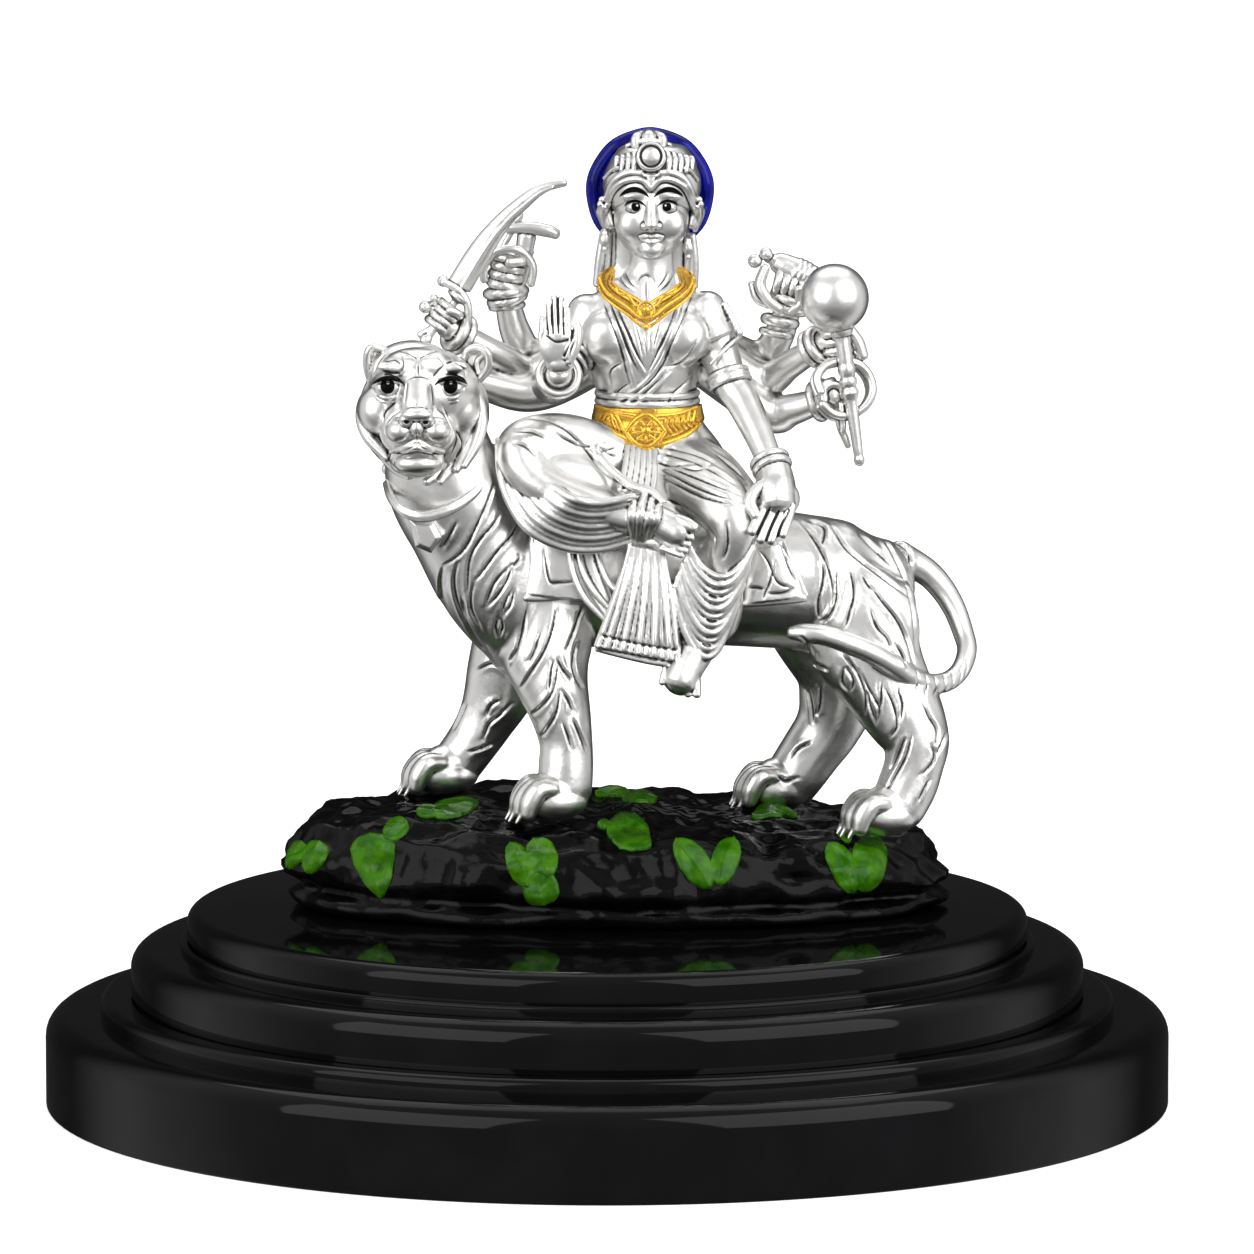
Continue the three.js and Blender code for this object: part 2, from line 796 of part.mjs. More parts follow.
// The right leg lies folded on the tiger's back: hip, knee, ankle and foot.
const rightLeg = [
  [3.6, -4.4, 55, 5, 4],
  [-5, -8, 58.8, 4.4, 3.8],
  [-11.2, -10.6, 59, 3.4, 3.4],
  [-8.2, -13, 56, 3.3, 3],
  [-1, -14.8, 52.6, 2.8, 2.6],
  [3.6, -15.8, 51.4, 2.3, 2.2],
];

// The left leg hangs from the knee.
const leftLeg = [
  [8.6, -4.4, 54, 5, 4.2],
  [14, -10, 52.8, 4.3, 4],
  [16.3, -14.2, 49.4, 3.7, 3.5],
  [14.2, -14.4, 42, 4, 2.9],
  [11.2, -14.2, 34.6, 2, 1.9],
];

function feet() {
  const crossed = [
    [3.6, -15.8, 51.4, 2.2, 1.9],
    [7.4, -16.4, 51, 2.5, 1.7],
    [10, -16.6, 50.6, 2.5, 1.3],
  ];
  const hanging = [
    [11, -14.6, 35, 2, 2],
    [10.4, -15.8, 32.6, 2, 1.6],
    [9.4, -17, 30.4, 2.2, 1.1],
  ];
  return [limb(crossed, 5, 2), limb(hanging, 5, 2)];
}

// A fold of cloth slung between two points: it sags by one length and stands out by another.
function slung(from, to, sag, bulge, radius) {
  const stations = [0, 0.3, 0.7, 1].map((t) => {
    const drop = 4 * t * (1 - t);
    return [
      from[0] + (to[0] - from[0]) * t,
      from[1] + (to[1] - from[1]) * t - bulge * drop,
      from[2] + (to[2] - from[2]) * t - sag * drop,
      radius * (0.5 + 0.5 * drop),
    ];
  });
  return limb(stations, 4, 3);
}

// A skirt of pleats that widens from its top to its hem.
function pleated({ top, hem, topHalf, hemHalf, slope, depth, pleats }) {
  const ridges = Array.from(
    { length: 2 * pleats + 1 },
    (_, i) => new THREE.Vector2(-1 + i / pleats, i % 2 ? -depth : 0),
  );
  const back = [new THREE.Vector2(1, 2.4), new THREE.Vector2(-1, 2.4)];
  const section = new THREE.Shape([...ridges, ...back]);
  const geometry = new THREE.ExtrudeGeometry(section, { depth: 1, bevelEnabled: false });
  reshape(geometry, (p) => {
    const fall = 1 - p.z;
    const half = topHalf + (hemHalf - topHalf) * fall;
    const centre = vector(top).lerp(vector(hem), fall);
    p.set(centre.x + p.x * half, centre.y + p.y, centre.z - p.x * slope * fall);
  });
  return solidOf(geometry);
}

function cloth() {
  const overKnee = [0, 1].map((i) => {
    const knee = [-12 + 0.4 * i, -12, 57.8 - 0.4 * i];
    const ankle = [3.4, -15.6, 51.4 - 0.8 * i];
    return slung(knee, ankle, 1.6 + 3 * i, 1.6, 1.4);
  });
  const roundShin = [0, 1, 2].map((i) => {
    const inner = [7.8 + 0.6 * i, -15, 47.4 - 3.2 * i];
    const outer = [18 - 1.2 * i, -13.6, 46.8 - 3.6 * i];
    return slung(inner, outer, 3.4 + 0.8 * i, 2.2, 1.3);
  });
  const lap = pleated({
    top: [bodyX, -8, 60],
    hem: [5.4, -14.2, 51.6],
    topHalf: 1.6,
    hemHalf: 2.8,
    slope: 0,
    depth: 0.7,
    pleats: 3,
  });
  const apron = pleated({
    top: [5.4, -15, 49.8],
    hem: [3.8, -15.6, 34.6],
    topHalf: 1.8,
    hemHalf: 4.9,
    slope: 1.6,
    depth: 0.9,
    pleats: 5,
  });
  const sash = [
    [-2.4, -12.6, 49, 0.9, 0.5],
    [-0.4, -13, 43.6, 1.1, 0.5],
    [4, -13.8, 37, 0.9, 0.5],
  ];
  return [
    ...overKnee,
    ...roundShin,
    lap,
    apron,
    limb(sash, 4, 2),
    egg([-4.6, -11.2, 54.6], [8.4, 3.4, 5], { rows: 4, tilt: 20 }),
  ];
}

function belt() {
  const sides = 10;
  const outline = [
    [0, -1.9],
    [7.3, -1.9],
    [6.9, 1.7],
    [0, 1.7],
  ];
  const points = outline.map(([r, z]) => new THREE.Vector2(r, z));
  const band = new THREE.LatheGeometry(points, sides).rotateX(Math.PI / 2);
  band.scale(1, 0.76, 1);
  band.translate(bodyX, -1.7, 61.4);
  return [solidOf(band), egg([bodyX, -6.9, 61], [2.6, 1, 2.2], { sides: 6, rows: 4 })];
}

function necklace() {
  const round = [
    [-0.2, -3.6, 79.8],
    [1.8, -6.4, 77.9],
    [5.4, -8, 75.8],
    [9, -6.4, 77.9],
    [11.2, -3.6, 79.8],
    [8.6, 2, 80.6],
    [2.6, 2, 80.6],
  ];
  return loop(round, 0.9, 8, 3);
}

function goddess() {
  return [
    ...body(),
    ...head(),
    ...crown(),
    halo(),
    ...arms(),
    ...sword(),
    ...mace(),
    ...noose(),
    ...conch(),
    ...goad(),
    limb(rightLeg, 6, 6),
    limb(leftLeg, 6, 5),
    ...feet(),
    ...cloth(),
    ...belt(),
    necklace(),
  ];
}

function idol() {
  const whole = union([rock(), ...leaves(), ...tiger(), ...goddess()]);
  return geometryOf(whole).scale(hundredth, hundredth, hundredth);
}

function named(name, geometry, material) {
  const made = new THREE.Mesh(geometry, material);
  made.name = name;
  return made;
}

const model = new THREE.Group();
const base = named("plinth", plinth(), blackLacquer);
const figure = named("idol", idol(), silver);
figure.position.z = plinthTop;
model.add(base, figure);

export default model;
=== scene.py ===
# %% [markdown]
# # A goddess riding a tiger, silvered and enamelled, on a black plinth
# The real object is a small table figure. One casting holds the goddess, her tiger and the rock
# they stand on. It is plated silver, brushed with gold, blue and green enamel, blacked below, and
# glued on a black lacquered plinth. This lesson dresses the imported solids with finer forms.
# We read the frame first, because every piece takes its place from it.

import math

import bmesh
import bpy
import numpy as np
from mathutils import Matrix, Vector, noise
from mathutils.bvhtree import BVHTree


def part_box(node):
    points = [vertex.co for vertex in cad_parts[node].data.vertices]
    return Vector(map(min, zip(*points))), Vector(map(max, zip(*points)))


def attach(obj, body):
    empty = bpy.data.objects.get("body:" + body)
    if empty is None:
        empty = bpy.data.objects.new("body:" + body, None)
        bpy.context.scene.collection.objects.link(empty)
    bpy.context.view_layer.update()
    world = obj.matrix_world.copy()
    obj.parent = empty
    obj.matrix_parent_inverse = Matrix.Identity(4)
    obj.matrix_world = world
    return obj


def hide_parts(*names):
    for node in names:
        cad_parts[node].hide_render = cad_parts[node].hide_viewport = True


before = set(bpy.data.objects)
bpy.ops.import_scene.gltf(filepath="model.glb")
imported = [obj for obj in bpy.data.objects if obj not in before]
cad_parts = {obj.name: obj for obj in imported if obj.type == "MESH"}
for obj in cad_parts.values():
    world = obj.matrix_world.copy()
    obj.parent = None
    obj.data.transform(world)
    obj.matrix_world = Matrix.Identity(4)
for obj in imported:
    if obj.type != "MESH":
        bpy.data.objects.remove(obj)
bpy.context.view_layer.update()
casting_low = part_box("idol")[0]
print("the casting stands", round(casting_low.z * 1000, 2), "mm up, on the plinth")

# %% [markdown]
# The casting is written in hundredths of its own height, from the middle of its flat underside,
# as the solids are. That keeps every number below short, and lets a form be compared with its
# solid at a glance. A piece is turned into metres once, when it is finished.

# %% The casting's own measure
HUNDREDTH = 0.695e-3
TO_FRAME = Matrix.Translation((0, 0, casting_low.z)) @ Matrix.Scale(HUNDREDTH, 4)


def show(name, mesh, material):
    piece = bpy.data.objects.new(name, mesh)
    bpy.context.scene.collection.objects.link(piece)
    mesh.materials.clear()
    mesh.materials.append(material)
    return piece


def bake(piece):
    """Makes a piece's modifiers a part of its mesh."""
    graph = bpy.context.evaluated_depsgraph_get()
    made = bpy.data.meshes.new_from_object(piece.evaluated_get(graph))
    piece.modifiers.clear()
    old, piece.data = piece.data, made
    bpy.data.meshes.remove(old)
    return piece


def finished(piece, node="idol", smooth=True):
    """Turns a piece from hundredths into metres and puts it in its CAD node's place."""
    piece.data.transform(TO_FRAME)
    if smooth:
        piece.data.shade_smooth()
    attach(piece, "root")
    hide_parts(node)
    print(piece.name, "has", sum(len(p.vertices) - 2 for p in piece.data.polygons), "triangles")
    return piece

# %% [markdown]
# ## Camera, light and floor
# The photograph was taken from a long way off, a little above the figure, so we use a long lens
# seven degrees up. A polished ball on the figure shows the studio: two large soft boxes in front,
# left and right of the lens, and a dim room round them. We build just those, and one box above,
# because silver looks like what it reflects.

# %% Camera
aim = Vector((0.00176, 0, 0.04229))
rise = math.radians(7.05)
distance = 0.7
eye = bpy.data.objects.new("camera", bpy.data.cameras.new("camera"))
bpy.context.scene.collection.objects.link(eye)
eye.location = aim + distance * Vector((0, -math.cos(rise), math.sin(rise)))
eye.rotation_euler = (math.radians(90) - rise, 0, 0)
eye.data.sensor_width = 36
eye.data.lens = 226.6
eye.data.clip_start, eye.data.clip_end = 0.01, 20
bpy.context.scene.camera = eye
bpy.context.scene.view_settings.view_transform = "Standard"

# %% Soft boxes


def soft_box(name, azimuth, elevation, size, power, away=0.55):
    """A square lamp that faces the figure, at an azimuth to the right of the lens."""
    lamp = bpy.data.objects.new(name, bpy.data.lights.new(name, "AREA"))
    bpy.context.scene.collection.objects.link(lamp)
    lamp.data.shape = "RECTANGLE"
    lamp.data.size, lamp.data.size_y = size
    lamp.data.energy = power
    a, e = math.radians(azimuth), math.radians(elevation)
    way = Vector((math.sin(a) * math.cos(e), -math.cos(a) * math.cos(e), math.sin(e)))
    lamp.location = aim + away * way
    lamp.rotation_euler = way.to_track_quat("Z", "Y").to_euler()
    return lamp


soft_box("box_left", -44, 22, (0.46, 0.5), 1.75)
soft_box("box_right", 46, 27, (0.54, 0.58), 2.5)
soft_box("box_above", 180, 70, (0.8, 0.5), 1.6, 0.7)

# %% [markdown]
# The room itself is a colour by direction. It is dim round the lens, lighter at the sides, and
# dark right behind the figure, as with the black cards that a photographer sets there to draw
# the edges of a bright object. The camera alone sees a white backdrop, and the white paper on
# the table is kept out of the reflections in the same way.

# %% Room and table
world = bpy.data.worlds.new("studio")
bpy.context.scene.world = world
world.use_nodes = True
LENS_SHADE, TOP_SHADE, SIDE_SHADE, CARD_SHADE, FLOOR_SHADE = 0.5, 0.65, 0.8, 0.03, 0.24


def room_shade():
    nodes, links = world.node_tree.nodes, world.node_tree.links
    parts = nodes.new("ShaderNodeSeparateXYZ")
    links.new(nodes.new("ShaderNodeTexCoord").outputs["Generated"], parts.inputs[0])

    def laid(share, below, above):
        shade = nodes.new("ShaderNodeMix")
        shade.data_type = "RGBA"
        links.new(share, shade.inputs[0])
        for socket, colour in ((6, below), (7, above)):
            if isinstance(colour, float):
                shade.inputs[socket].default_value = (colour, colour, colour, 1)
            else:
                links.new(colour, shade.inputs[socket])
        return shade.outputs[2]

    def ramp(axis, low, high):
        share = nodes.new("ShaderNodeMapRange")
        share.interpolation_type = "SMOOTHSTEP"
        share.inputs["From Min"].default_value = low
        share.inputs["From Max"].default_value = high
        links.new(parts.outputs[axis], share.inputs["Value"])
        return share.outputs[0]

    front = laid(ramp("Z", -0.1, 0.9), LENS_SHADE, TOP_SHADE)
    front = laid(ramp("Z", -0.25, -0.6), front, FLOOR_SHADE)
    side = laid(ramp("Y", -0.35, 0.1), front, SIDE_SHADE)
    back = laid(ramp("Y", 0.3, 0.78), side, CARD_SHADE)
    to_lens = nodes.new("ShaderNodeLightPath").outputs["Is Camera Ray"]
    links.new(laid(to_lens, back, 1.0), nodes["Background"].inputs["Color"])


room_shade()


def paper():
    """White paper that glows as painted light, more strongly far away, where it runs into the
    backdrop.
    """
    finish = bpy.data.materials.new("white paper")
    finish.use_nodes = True
    nodes, links = finish.node_tree.nodes, finish.node_tree.links
    shader = nodes["Principled BSDF"]
    shader.inputs["Base Color"].default_value = (0.85, 0.85, 0.85, 1)
    shader.inputs["Emission Color"].default_value = (1, 1, 1, 1)
    shader.inputs["Roughness"].default_value = 0.7
    parts = nodes.new("ShaderNodeSeparateXYZ")
    links.new(nodes.new("ShaderNodeTexCoord").outputs["Object"], parts.inputs[0])
    # painted light: the paper glows, from half strength near the figure to full strength far away
    glow = nodes.new("ShaderNodeMapRange")
    for key, value in (("From Min", 0.05), ("From Max", 0.7), ("To Min", 0.5), ("To Max", 1.0)):
        glow.inputs[key].default_value = value
    links.new(parts.outputs["Y"], glow.inputs["Value"])
    links.new(glow.outputs[0], shader.inputs["Emission Strength"])
    return finish


table = bmesh.new()
bmesh.ops.create_grid(table, x_segments=1, y_segments=1, size=6)
table_mesh = bpy.data.meshes.new("table")
table.to_mesh(table_mesh)
table.free()
paper_table = show("table", table_mesh, paper())
paper_table.visible_glossy = False

# %% [markdown]
# ## Finishes
# Every finish is worked out from nodes. Sums on sockets read badly as a chain of node calls, so
# one small class wraps a socket and lets Python's own operators add the Math nodes.

# %% Shader sums


class Value:
    """A socket that can be added, multiplied and compared like a number."""

    def __init__(self, sheet, socket):
        self.sheet, self.socket = sheet, socket

    def sum(self, operation, *others):
        feeds = {i: other for i, other in enumerate((self, *others))}
        return self.sheet.node("ShaderNodeMath", {"operation": operation}, feeds)

    def __add__(self, other):
        return self.sum("ADD", other)

    def __sub__(self, other):
        return self.sum("SUBTRACT", other)

    def __rsub__(self, other):
        return self.sum("MULTIPLY", -1) + other

    def __mul__(self, other):
        return self.sum("MULTIPLY", other)

    def __truediv__(self, other):
        return self.sum("DIVIDE", other)

    __radd__, __rmul__ = __add__, __mul__

    def size(self):
        return self.sum("ABSOLUTE")

    def most(self, other):
        return self.sum("MAXIMUM", other)

    def power(self, other):
        return self.sum("POWER", other)

    def step(self, low, high):
        """0 below low and 1 above high, with a smooth change between them."""
        feeds = {"Value": self, "From Min": low, "From Max": high}
        return self.sheet.node("ShaderNodeMapRange", {"interpolation_type": "SMOOTHSTEP"}, feeds)


class Sheet:
    """The node sheet of one finish."""

    def __init__(self, name):
        self.material = bpy.data.materials.new(name)
        self.material.use_nodes = True
        self.tree = self.material.node_tree
        self.shader = self.tree.nodes["Principled BSDF"]

    def node(self, kind, settings=None, feeds=None, out=0):
        made = self.tree.nodes.new(kind)
        for key, setting in (settings or {}).items():
            setattr(made, key, setting)
        for key, feed in (feeds or {}).items():
            self.feed(made.inputs[key], feed)
        return Value(self, made.outputs[out])

    def feed(self, socket, feed):
        if isinstance(feed, Value):
            self.tree.links.new(feed.socket, socket)
        else:
            socket.default_value = feed

    def set(self, **feeds):
        """Feeds the shader's sockets, such as base_color."""
        for key, feed in feeds.items():
            words = key.replace("_", " ").title().replace("Ior", "IOR")
            self.feed(self.shader.inputs[words], feed)
        return self

    def mix(self, share, below, above):
        """The colour above laid over the colour below."""
        kinds = {"data_type": "RGBA"}
        return self.node("ShaderNodeMix", kinds, {0: share, 6: below, 7: above}, out=2)

    def place(self):
        """Where a point lies, in hundredths of the casting, as a vector."""
        spot = self.node("ShaderNodeTexCoord", out=3)
        moved = self.node(
            "ShaderNodeVectorMath",
            {"operation": "SUBTRACT"},
            {0: spot, 1: (0, 0, casting_low.z)},
        )
        return self.node(
            "ShaderNodeVectorMath", {"operation": "DIVIDE"}, {0: moved, 1: (HUNDREDTH,) * 3}
        )

    def axes(self, vector=None):
        """The three numbers of a place."""
        parts = self.tree.nodes.new("ShaderNodeSeparateXYZ")
        self.feed(parts.inputs[0], vector or self.place())
        return [Value(self, out) for out in parts.outputs]

    def cloud(self, scale, detail=3, roughness=0.5, vector=None):
        feeds = {
            "Vector": vector or self.place(),
            "Scale": scale,
            "Detail": detail,
            "Roughness": roughness,
        }
        return self.node("ShaderNodeTexNoise", None, feeds)

    def bumped(self, height, strength, depth):
        feeds = {"Height": height, "Strength": strength, "Distance": depth * HUNDREDTH}
        self.set(normal=self.node("ShaderNodeBump", None, feeds))

    def crevice(self):
        """The share of shade that a piece keeps in its own creases."""
        return self.node("ShaderNodeAttribute", {"attribute_name": "crevice"}, out=2)


def grey(value):
    return (value, value, value, 1)

# %% [markdown]
# ### Silver plate
# The plating is satin bright, with painted shade laid in each crease to darken it. Its colour is
# a warm pale grey. A fine unevenness of the casting under it breaks the reflections.

# %% Silver


def silver_sheet(name, roughness=0.27, paint=None):
    """Silver plate. paint is a function that lays enamel on the sheet's colour."""
    sheet = Sheet(name)
    crease = sheet.crevice().step(0.1, 0.6)
    patches = sheet.cloud(0.35, 4)
    shine = roughness + 0.1 * patches + 0.25 * crease
    colour = sheet.mix(patches.step(0.3, 0.7), (0.74, 0.735, 0.72, 1), (0.82, 0.815, 0.80, 1))
    # painted shade: the colour darkens in each crease, where less light reaches
    colour = sheet.mix(crease, colour, (0.06, 0.057, 0.054, 1))
    metal = 1.0
    if paint:
        colour, metal, shine = paint(sheet, colour, shine)
    sheet.set(base_color=colour, metallic=metal, roughness=shine, ior=1.12)
    sheet.bumped(sheet.cloud(1.6, 5, 0.6), 0.25, 0.12)
    return sheet.material


def arc_band(x, z, centre, half, rise_by, low, high):
    """1 inside a band that arches over a centre, thick in the middle and pointed at its ends."""
    across = (x - centre) / half
    lift = rise_by * (1 - across * across)
    inside = (1 - across * across).most(0)
    from_low = z - lift - low
    thick = (high - low) * inside.power(0.5)
    return from_low.step(-0.06, 0.06) * (thick - from_low).step(-0.06, 0.06) * inside.step(0.01, 0.05)


silver = silver_sheet("silver plate")
BLACK_PAINT = grey(0.002)

# %% [markdown]
# ### Enamels and lacquer
# The necklace and the belt are brushed with gold, the halo with a deep, glassy blue, the leaves
# with green and the rock with black. The plinth is sprayed and polished like a piano.

# %% Gold, blue, green and black


def enamel_sheet(name, deep, light, roughness, ior):
    """A glossy enamel, with painted shade that darkens it in the creases."""
    sheet = Sheet(name)
    crease = sheet.crevice().step(0.05, 0.6)
    colour = sheet.mix(sheet.cloud(0.5, 4).step(0.35, 0.65), deep, light)
    # painted shade: the colour darkens in each crease, where less light reaches
    colour = sheet.mix(crease * 0.7, colour, tuple(c * 0.25 for c in deep[:3]) + (1,))
    shine = roughness + 0.08 * sheet.cloud(2.2, 3)
    sheet.set(base_color=colour, roughness=shine, ior=ior)
    sheet.bumped(sheet.cloud(1.4, 4, 0.6), 0.25, 0.15)
    return sheet.material


def gold_sheet():
    sheet = Sheet("gold paint")
    crease = sheet.crevice().step(0.05, 0.55)
    grain = sheet.cloud(3, 4)
    colour = sheet.mix(grain.step(0.3, 0.7), (0.74, 0.38, 0.03, 1), (0.95, 0.55, 0.08, 1))
    # painted shade: the colour darkens to brown in each crease, where less light reaches
    colour = sheet.mix(crease, colour, (0.20, 0.08, 0.01, 1))
    sheet.set(base_color=colour, metallic=0.85, roughness=0.18 + 0.1 * grain + 0.2 * crease)
    sheet.bumped(grain, 0.06, 0.1)
    return sheet.material


gold = gold_sheet()
blue = enamel_sheet("blue enamel", (0.0003, 0.001, 0.09, 1), (0.001, 0.003, 0.22, 1), 0.04, 1.3)
green = enamel_sheet("green enamel", (0.014, 0.08, 0.0005, 1), (0.04, 0.15, 0.001, 1), 0.08, 1.25)
black_rock = enamel_sheet("black enamel", grey(0.001), grey(0.002), 0.04, 1.2)

# %% [markdown]
# ## Ways of making forms
# A modeller builds such a figure from rolls and eggs of wax, melts them together, and then cuts
# the folds and stripes in. We do the same: rolls are spheres whose rings are drawn along a line,
# a Remesh modifier melts them into one skin, and the cuts move its points along their normals.

# %% Rolls and eggs


def smooth_line(points, count):
    """Evenly shared places on the smooth line through some points."""
    points = np.asarray(points, float)
    run = np.vstack([2 * points[0] - points[1], points, 2 * points[-1] - points[-2]])
    at = np.linspace(0, len(points) - 1, count)
    first = np.minimum(at.astype(int), len(points) - 2)
    u = (at - first)[:, None]
    a, b, c, d = (run[first + k] for k in range(4))
    cubic = (3 * b - a - 3 * c + d) * u + 2 * a - 5 * b + 4 * c - d
    return 0.5 * (2 * b + ((c - a) + cubic * u) * u)


def rings_along(stations, rows, dome):
    """Centre, two half-axes and tangent of each ring of a roll, with a dome at each end."""
    line = smooth_line([[*s, s[3]][:5] for s in stations], rows)
    centres, radii, depths = line[:, :3], np.maximum(line[:, 3], 0.05), np.maximum(line[:, 4], 0.05)
    tangents = np.gradient(centres, axis=0)
    tangents /= np.linalg.norm(tangents, axis=1)[:, None]
    across = np.cross([0, 0, 1] if abs(tangents[0][1]) > 0.9 else [0, 1, 0], tangents[0])
    rings = []
    for centre, tangent, radius, depth in zip(centres, tangents, radii, depths):
        across = across - tangent * across.dot(tangent)
        across /= np.linalg.norm(across)
        rings.append((centre, across * radius, np.cross(across, tangent) * depth, tangent))
    caps = []
    for ring, way in ((rings[0], -1), (rings[-1], 1)):
        centre, side, deep, tangent = ring
        reach = dome * min(np.linalg.norm(side), np.linalg.norm(deep))
        cap = []
        for bend in (math.radians(d) for d in (90, 66, 42, 20)):
            out, shrink = way * reach * math.sin(bend), math.cos(bend)
            cap.append((centre + out * tangent, side * shrink, deep * shrink, tangent))
        caps.append(cap)
    return caps[0] + rings + caps[1][::-1]


def poured(own, bm, place=None):
    """Sets a finished form among the others. Each is made apart, which is far quicker."""
    if place:
        bmesh.ops.transform(own, matrix=place, verts=own.verts)
    loose = bpy.data.meshes.new("loose")
    own.to_mesh(loose)
    own.free()
    bm.from_mesh(loose)
    bpy.data.meshes.remove(loose)


def roll(bm, stations, sides=24, rows=24, dome=0.8):
    """A rounded roll through stations of x, y, z, radius and, if it differs, depth radius."""
    rings = rings_along(stations, rows, dome)
    last = len(rings) - 1
    own = bmesh.new()
    bmesh.ops.create_uvsphere(own, u_segments=sides, v_segments=last, radius=1)
    for point in own.verts:
        row = round(math.acos(max(-1, min(1, point.co.z))) / math.pi * last)
        centre, side, deep, _ = rings[row]
        turn = math.atan2(point.co.y, point.co.x)
        if row in (0, last):
            point.co = Vector(centre)
        else:
            point.co = Vector(centre + side * math.cos(turn) + deep * math.sin(turn))
    poured(own, bm)


def egg(bm, centre, half, tilt=0, turn=0, detail=4):
    """An egg of three half-sizes, tilted in the view and then turned about Z."""
    place = (
        Matrix.Translation(centre)
        @ Matrix.Rotation(math.radians(turn), 4, "Z")
        @ Matrix.Rotation(math.radians(tilt), 4, "Y")
        @ Matrix.Diagonal((*half, 1))
    )
    own = bmesh.new()
    bmesh.ops.create_icosphere(own, subdivisions=detail, radius=1)
    poured(own, bm, place)


def upright(foot, axis):
    """The move that stands a form up along an axis."""
    turn = Vector((0, 0, 1)).rotation_difference(Vector(axis).normalized())
    return Matrix.Translation(foot) @ turn.to_matrix().to_4x4()


def whirled(own, line, sides):
    bmesh.ops.spin(
        own,
        geom=line,
        axis=(0, 0, 1),
        cent=(0, 0, 0),
        steps=sides,
        angle=2 * math.pi,
        use_merge=True,
    )
    bmesh.ops.remove_doubles(own, verts=own.verts, dist=1e-4)
    bmesh.ops.recalc_face_normals(own, faces=own.faces)


def spun(bm, foot, head, profile, sides=32):
    """A turned form about an axis from foot to head, of share of length and radius pairs."""
    axis = Vector(head) - Vector(foot)
    own = bmesh.new()
    shares = [(profile[0][0], 0), *profile, (profile[-1][0], 0)]
    points = [own.verts.new((radius, 0, share * axis.length)) for share, radius in shares]
    edges = [own.edges.new(pair) for pair in zip(points, points[1:])]
    whirled(own, points + edges, sides)
    poured(own, bm, upright(foot, axis))


def bangle(bm, centre, axis, radius, wire, sides=32):
    """A ring of round wire about an axis."""
    own = bmesh.new()
    place = Matrix.Translation((radius, 0, 0)) @ Matrix.Rotation(math.pi / 2, 4, "X")
    ring = bmesh.ops.create_circle(own, segments=10, radius=wire, matrix=place)["verts"]
    edges = list({e for v in ring for e in v.link_edges})
    whirled(own, ring + edges, sides)
    poured(own, bm, upright(centre, axis))


def melted(name, bm, material, fineness, softness=4):
    """One skin round all that bm holds, in steps of a fineness, and softened a few times."""
    mesh = bpy.data.meshes.new(name)
    bm.to_mesh(mesh)
    bm.free()
    piece = show(name, mesh, material)
    skin = piece.modifiers.new("skin", "REMESH")
    skin.mode = "VOXEL"
    skin.voxel_size = fineness * 1
    soft = piece.modifiers.new("soft", "SMOOTH")
    soft.factor, soft.iterations = 0.5, softness
    bake(piece)
    print(name, "melted into", len(piece.data.vertices), "points")
    return piece


def blended(bm, own, fineness=0.3, softness=8):
    """Melts some forms coarsely and smooths them well, as under one skin, before they join bm."""
    under = melted("forms under the skin", own, None, fineness, softness)
    bm.from_mesh(under.data)
    mesh = under.data
    bpy.data.objects.remove(under)
    bpy.data.meshes.remove(mesh)


def thinned(piece, triangles):
    """Fewer faces, kept where the surface bends most."""
    count = sum(len(p.vertices) - 2 for p in piece.data.polygons)
    if count > triangles:
        fewer = piece.modifiers.new("fewer", "DECIMATE")
        fewer.ratio = triangles / count
        bake(piece)
    return piece

# %% [markdown]
# ### Cutting in
# A stripe, a fold or a wrinkle is a line drawn as it shows in the photograph, in pixels of its
# 1254 by 1254 frame. Each point of the skin that shows near that line moves in or out along its
# own normal. A cut can be even, or steep on one side only, as where one lock of fur or one fold
# of cloth lies over the next. The far side gets the same lines, cut straight through.

# %% From the figure to the photograph and back
PHOTO_WIDE = 1254
PHOTO_MIDDLE = PHOTO_WIDE / 2
PIXELS_TO_HUNDREDTH = 7.84
FOCUS = eye.data.lens / eye.data.sensor_width * PHOTO_WIDE
FORWARD = np.array([0, math.cos(rise), -math.sin(rise)])
UPWARD = np.array([0, math.sin(rise), math.cos(rise)])
EYE_AT = (np.array(eye.location) - (0, 0, casting_low.z)) / HUNDREDTH


def seen(place):
    """Where points of the casting show in the photograph."""
    off = np.asarray(place, float) - EYE_AT
    depth = off @ FORWARD
    across, down = FOCUS * off[..., 0] / depth, FOCUS * (off @ UPWARD) / depth
    return np.stack([PHOTO_MIDDLE + across, PHOTO_MIDDLE - down], -1)


def way_through(u, v):
    """The way from the eye through a pixel."""
    across, down = u - PHOTO_MIDDLE, v - PHOTO_MIDDLE
    return FORWARD + np.array([1, 0, 0]) * across / FOCUS - UPWARD * down / FOCUS


def spot(u, v, y):
    """The point of the casting that shows at a pixel and lies at a depth."""
    way = way_through(u, v)
    return tuple(EYE_AT + way * (y - EYE_AT[1]) / way[1])


def marks(*rows):
    """Stations of a roll, each from a pixel, a depth and one or two half-sizes."""
    return [(*spot(u, v, y), *half) for u, v, y, *half in rows]


def tapered(count, taper):
    """The thickness at each point of a line, full in the middle and down to a share at both ends."""
    return taper + (1 - taper) * np.sin(math.pi * (0.5 + np.arange(count)) / count)


def strand(bm, pixels, y, radius, taper=0.5, sides=12):
    """A roll along a line of pixels. y runs from one end to the other, and both ends taper."""
    count = len(pixels)
    depths = np.interp(np.linspace(0, 1, count), np.linspace(0, 1, len(y)), y)
    swell = tapered(count, taper)
    stations = [(*spot(u, v, d), radius * w) for (u, v), d, w in zip(pixels, depths, swell)]
    return roll(bm, stations, sides, 7 * count)


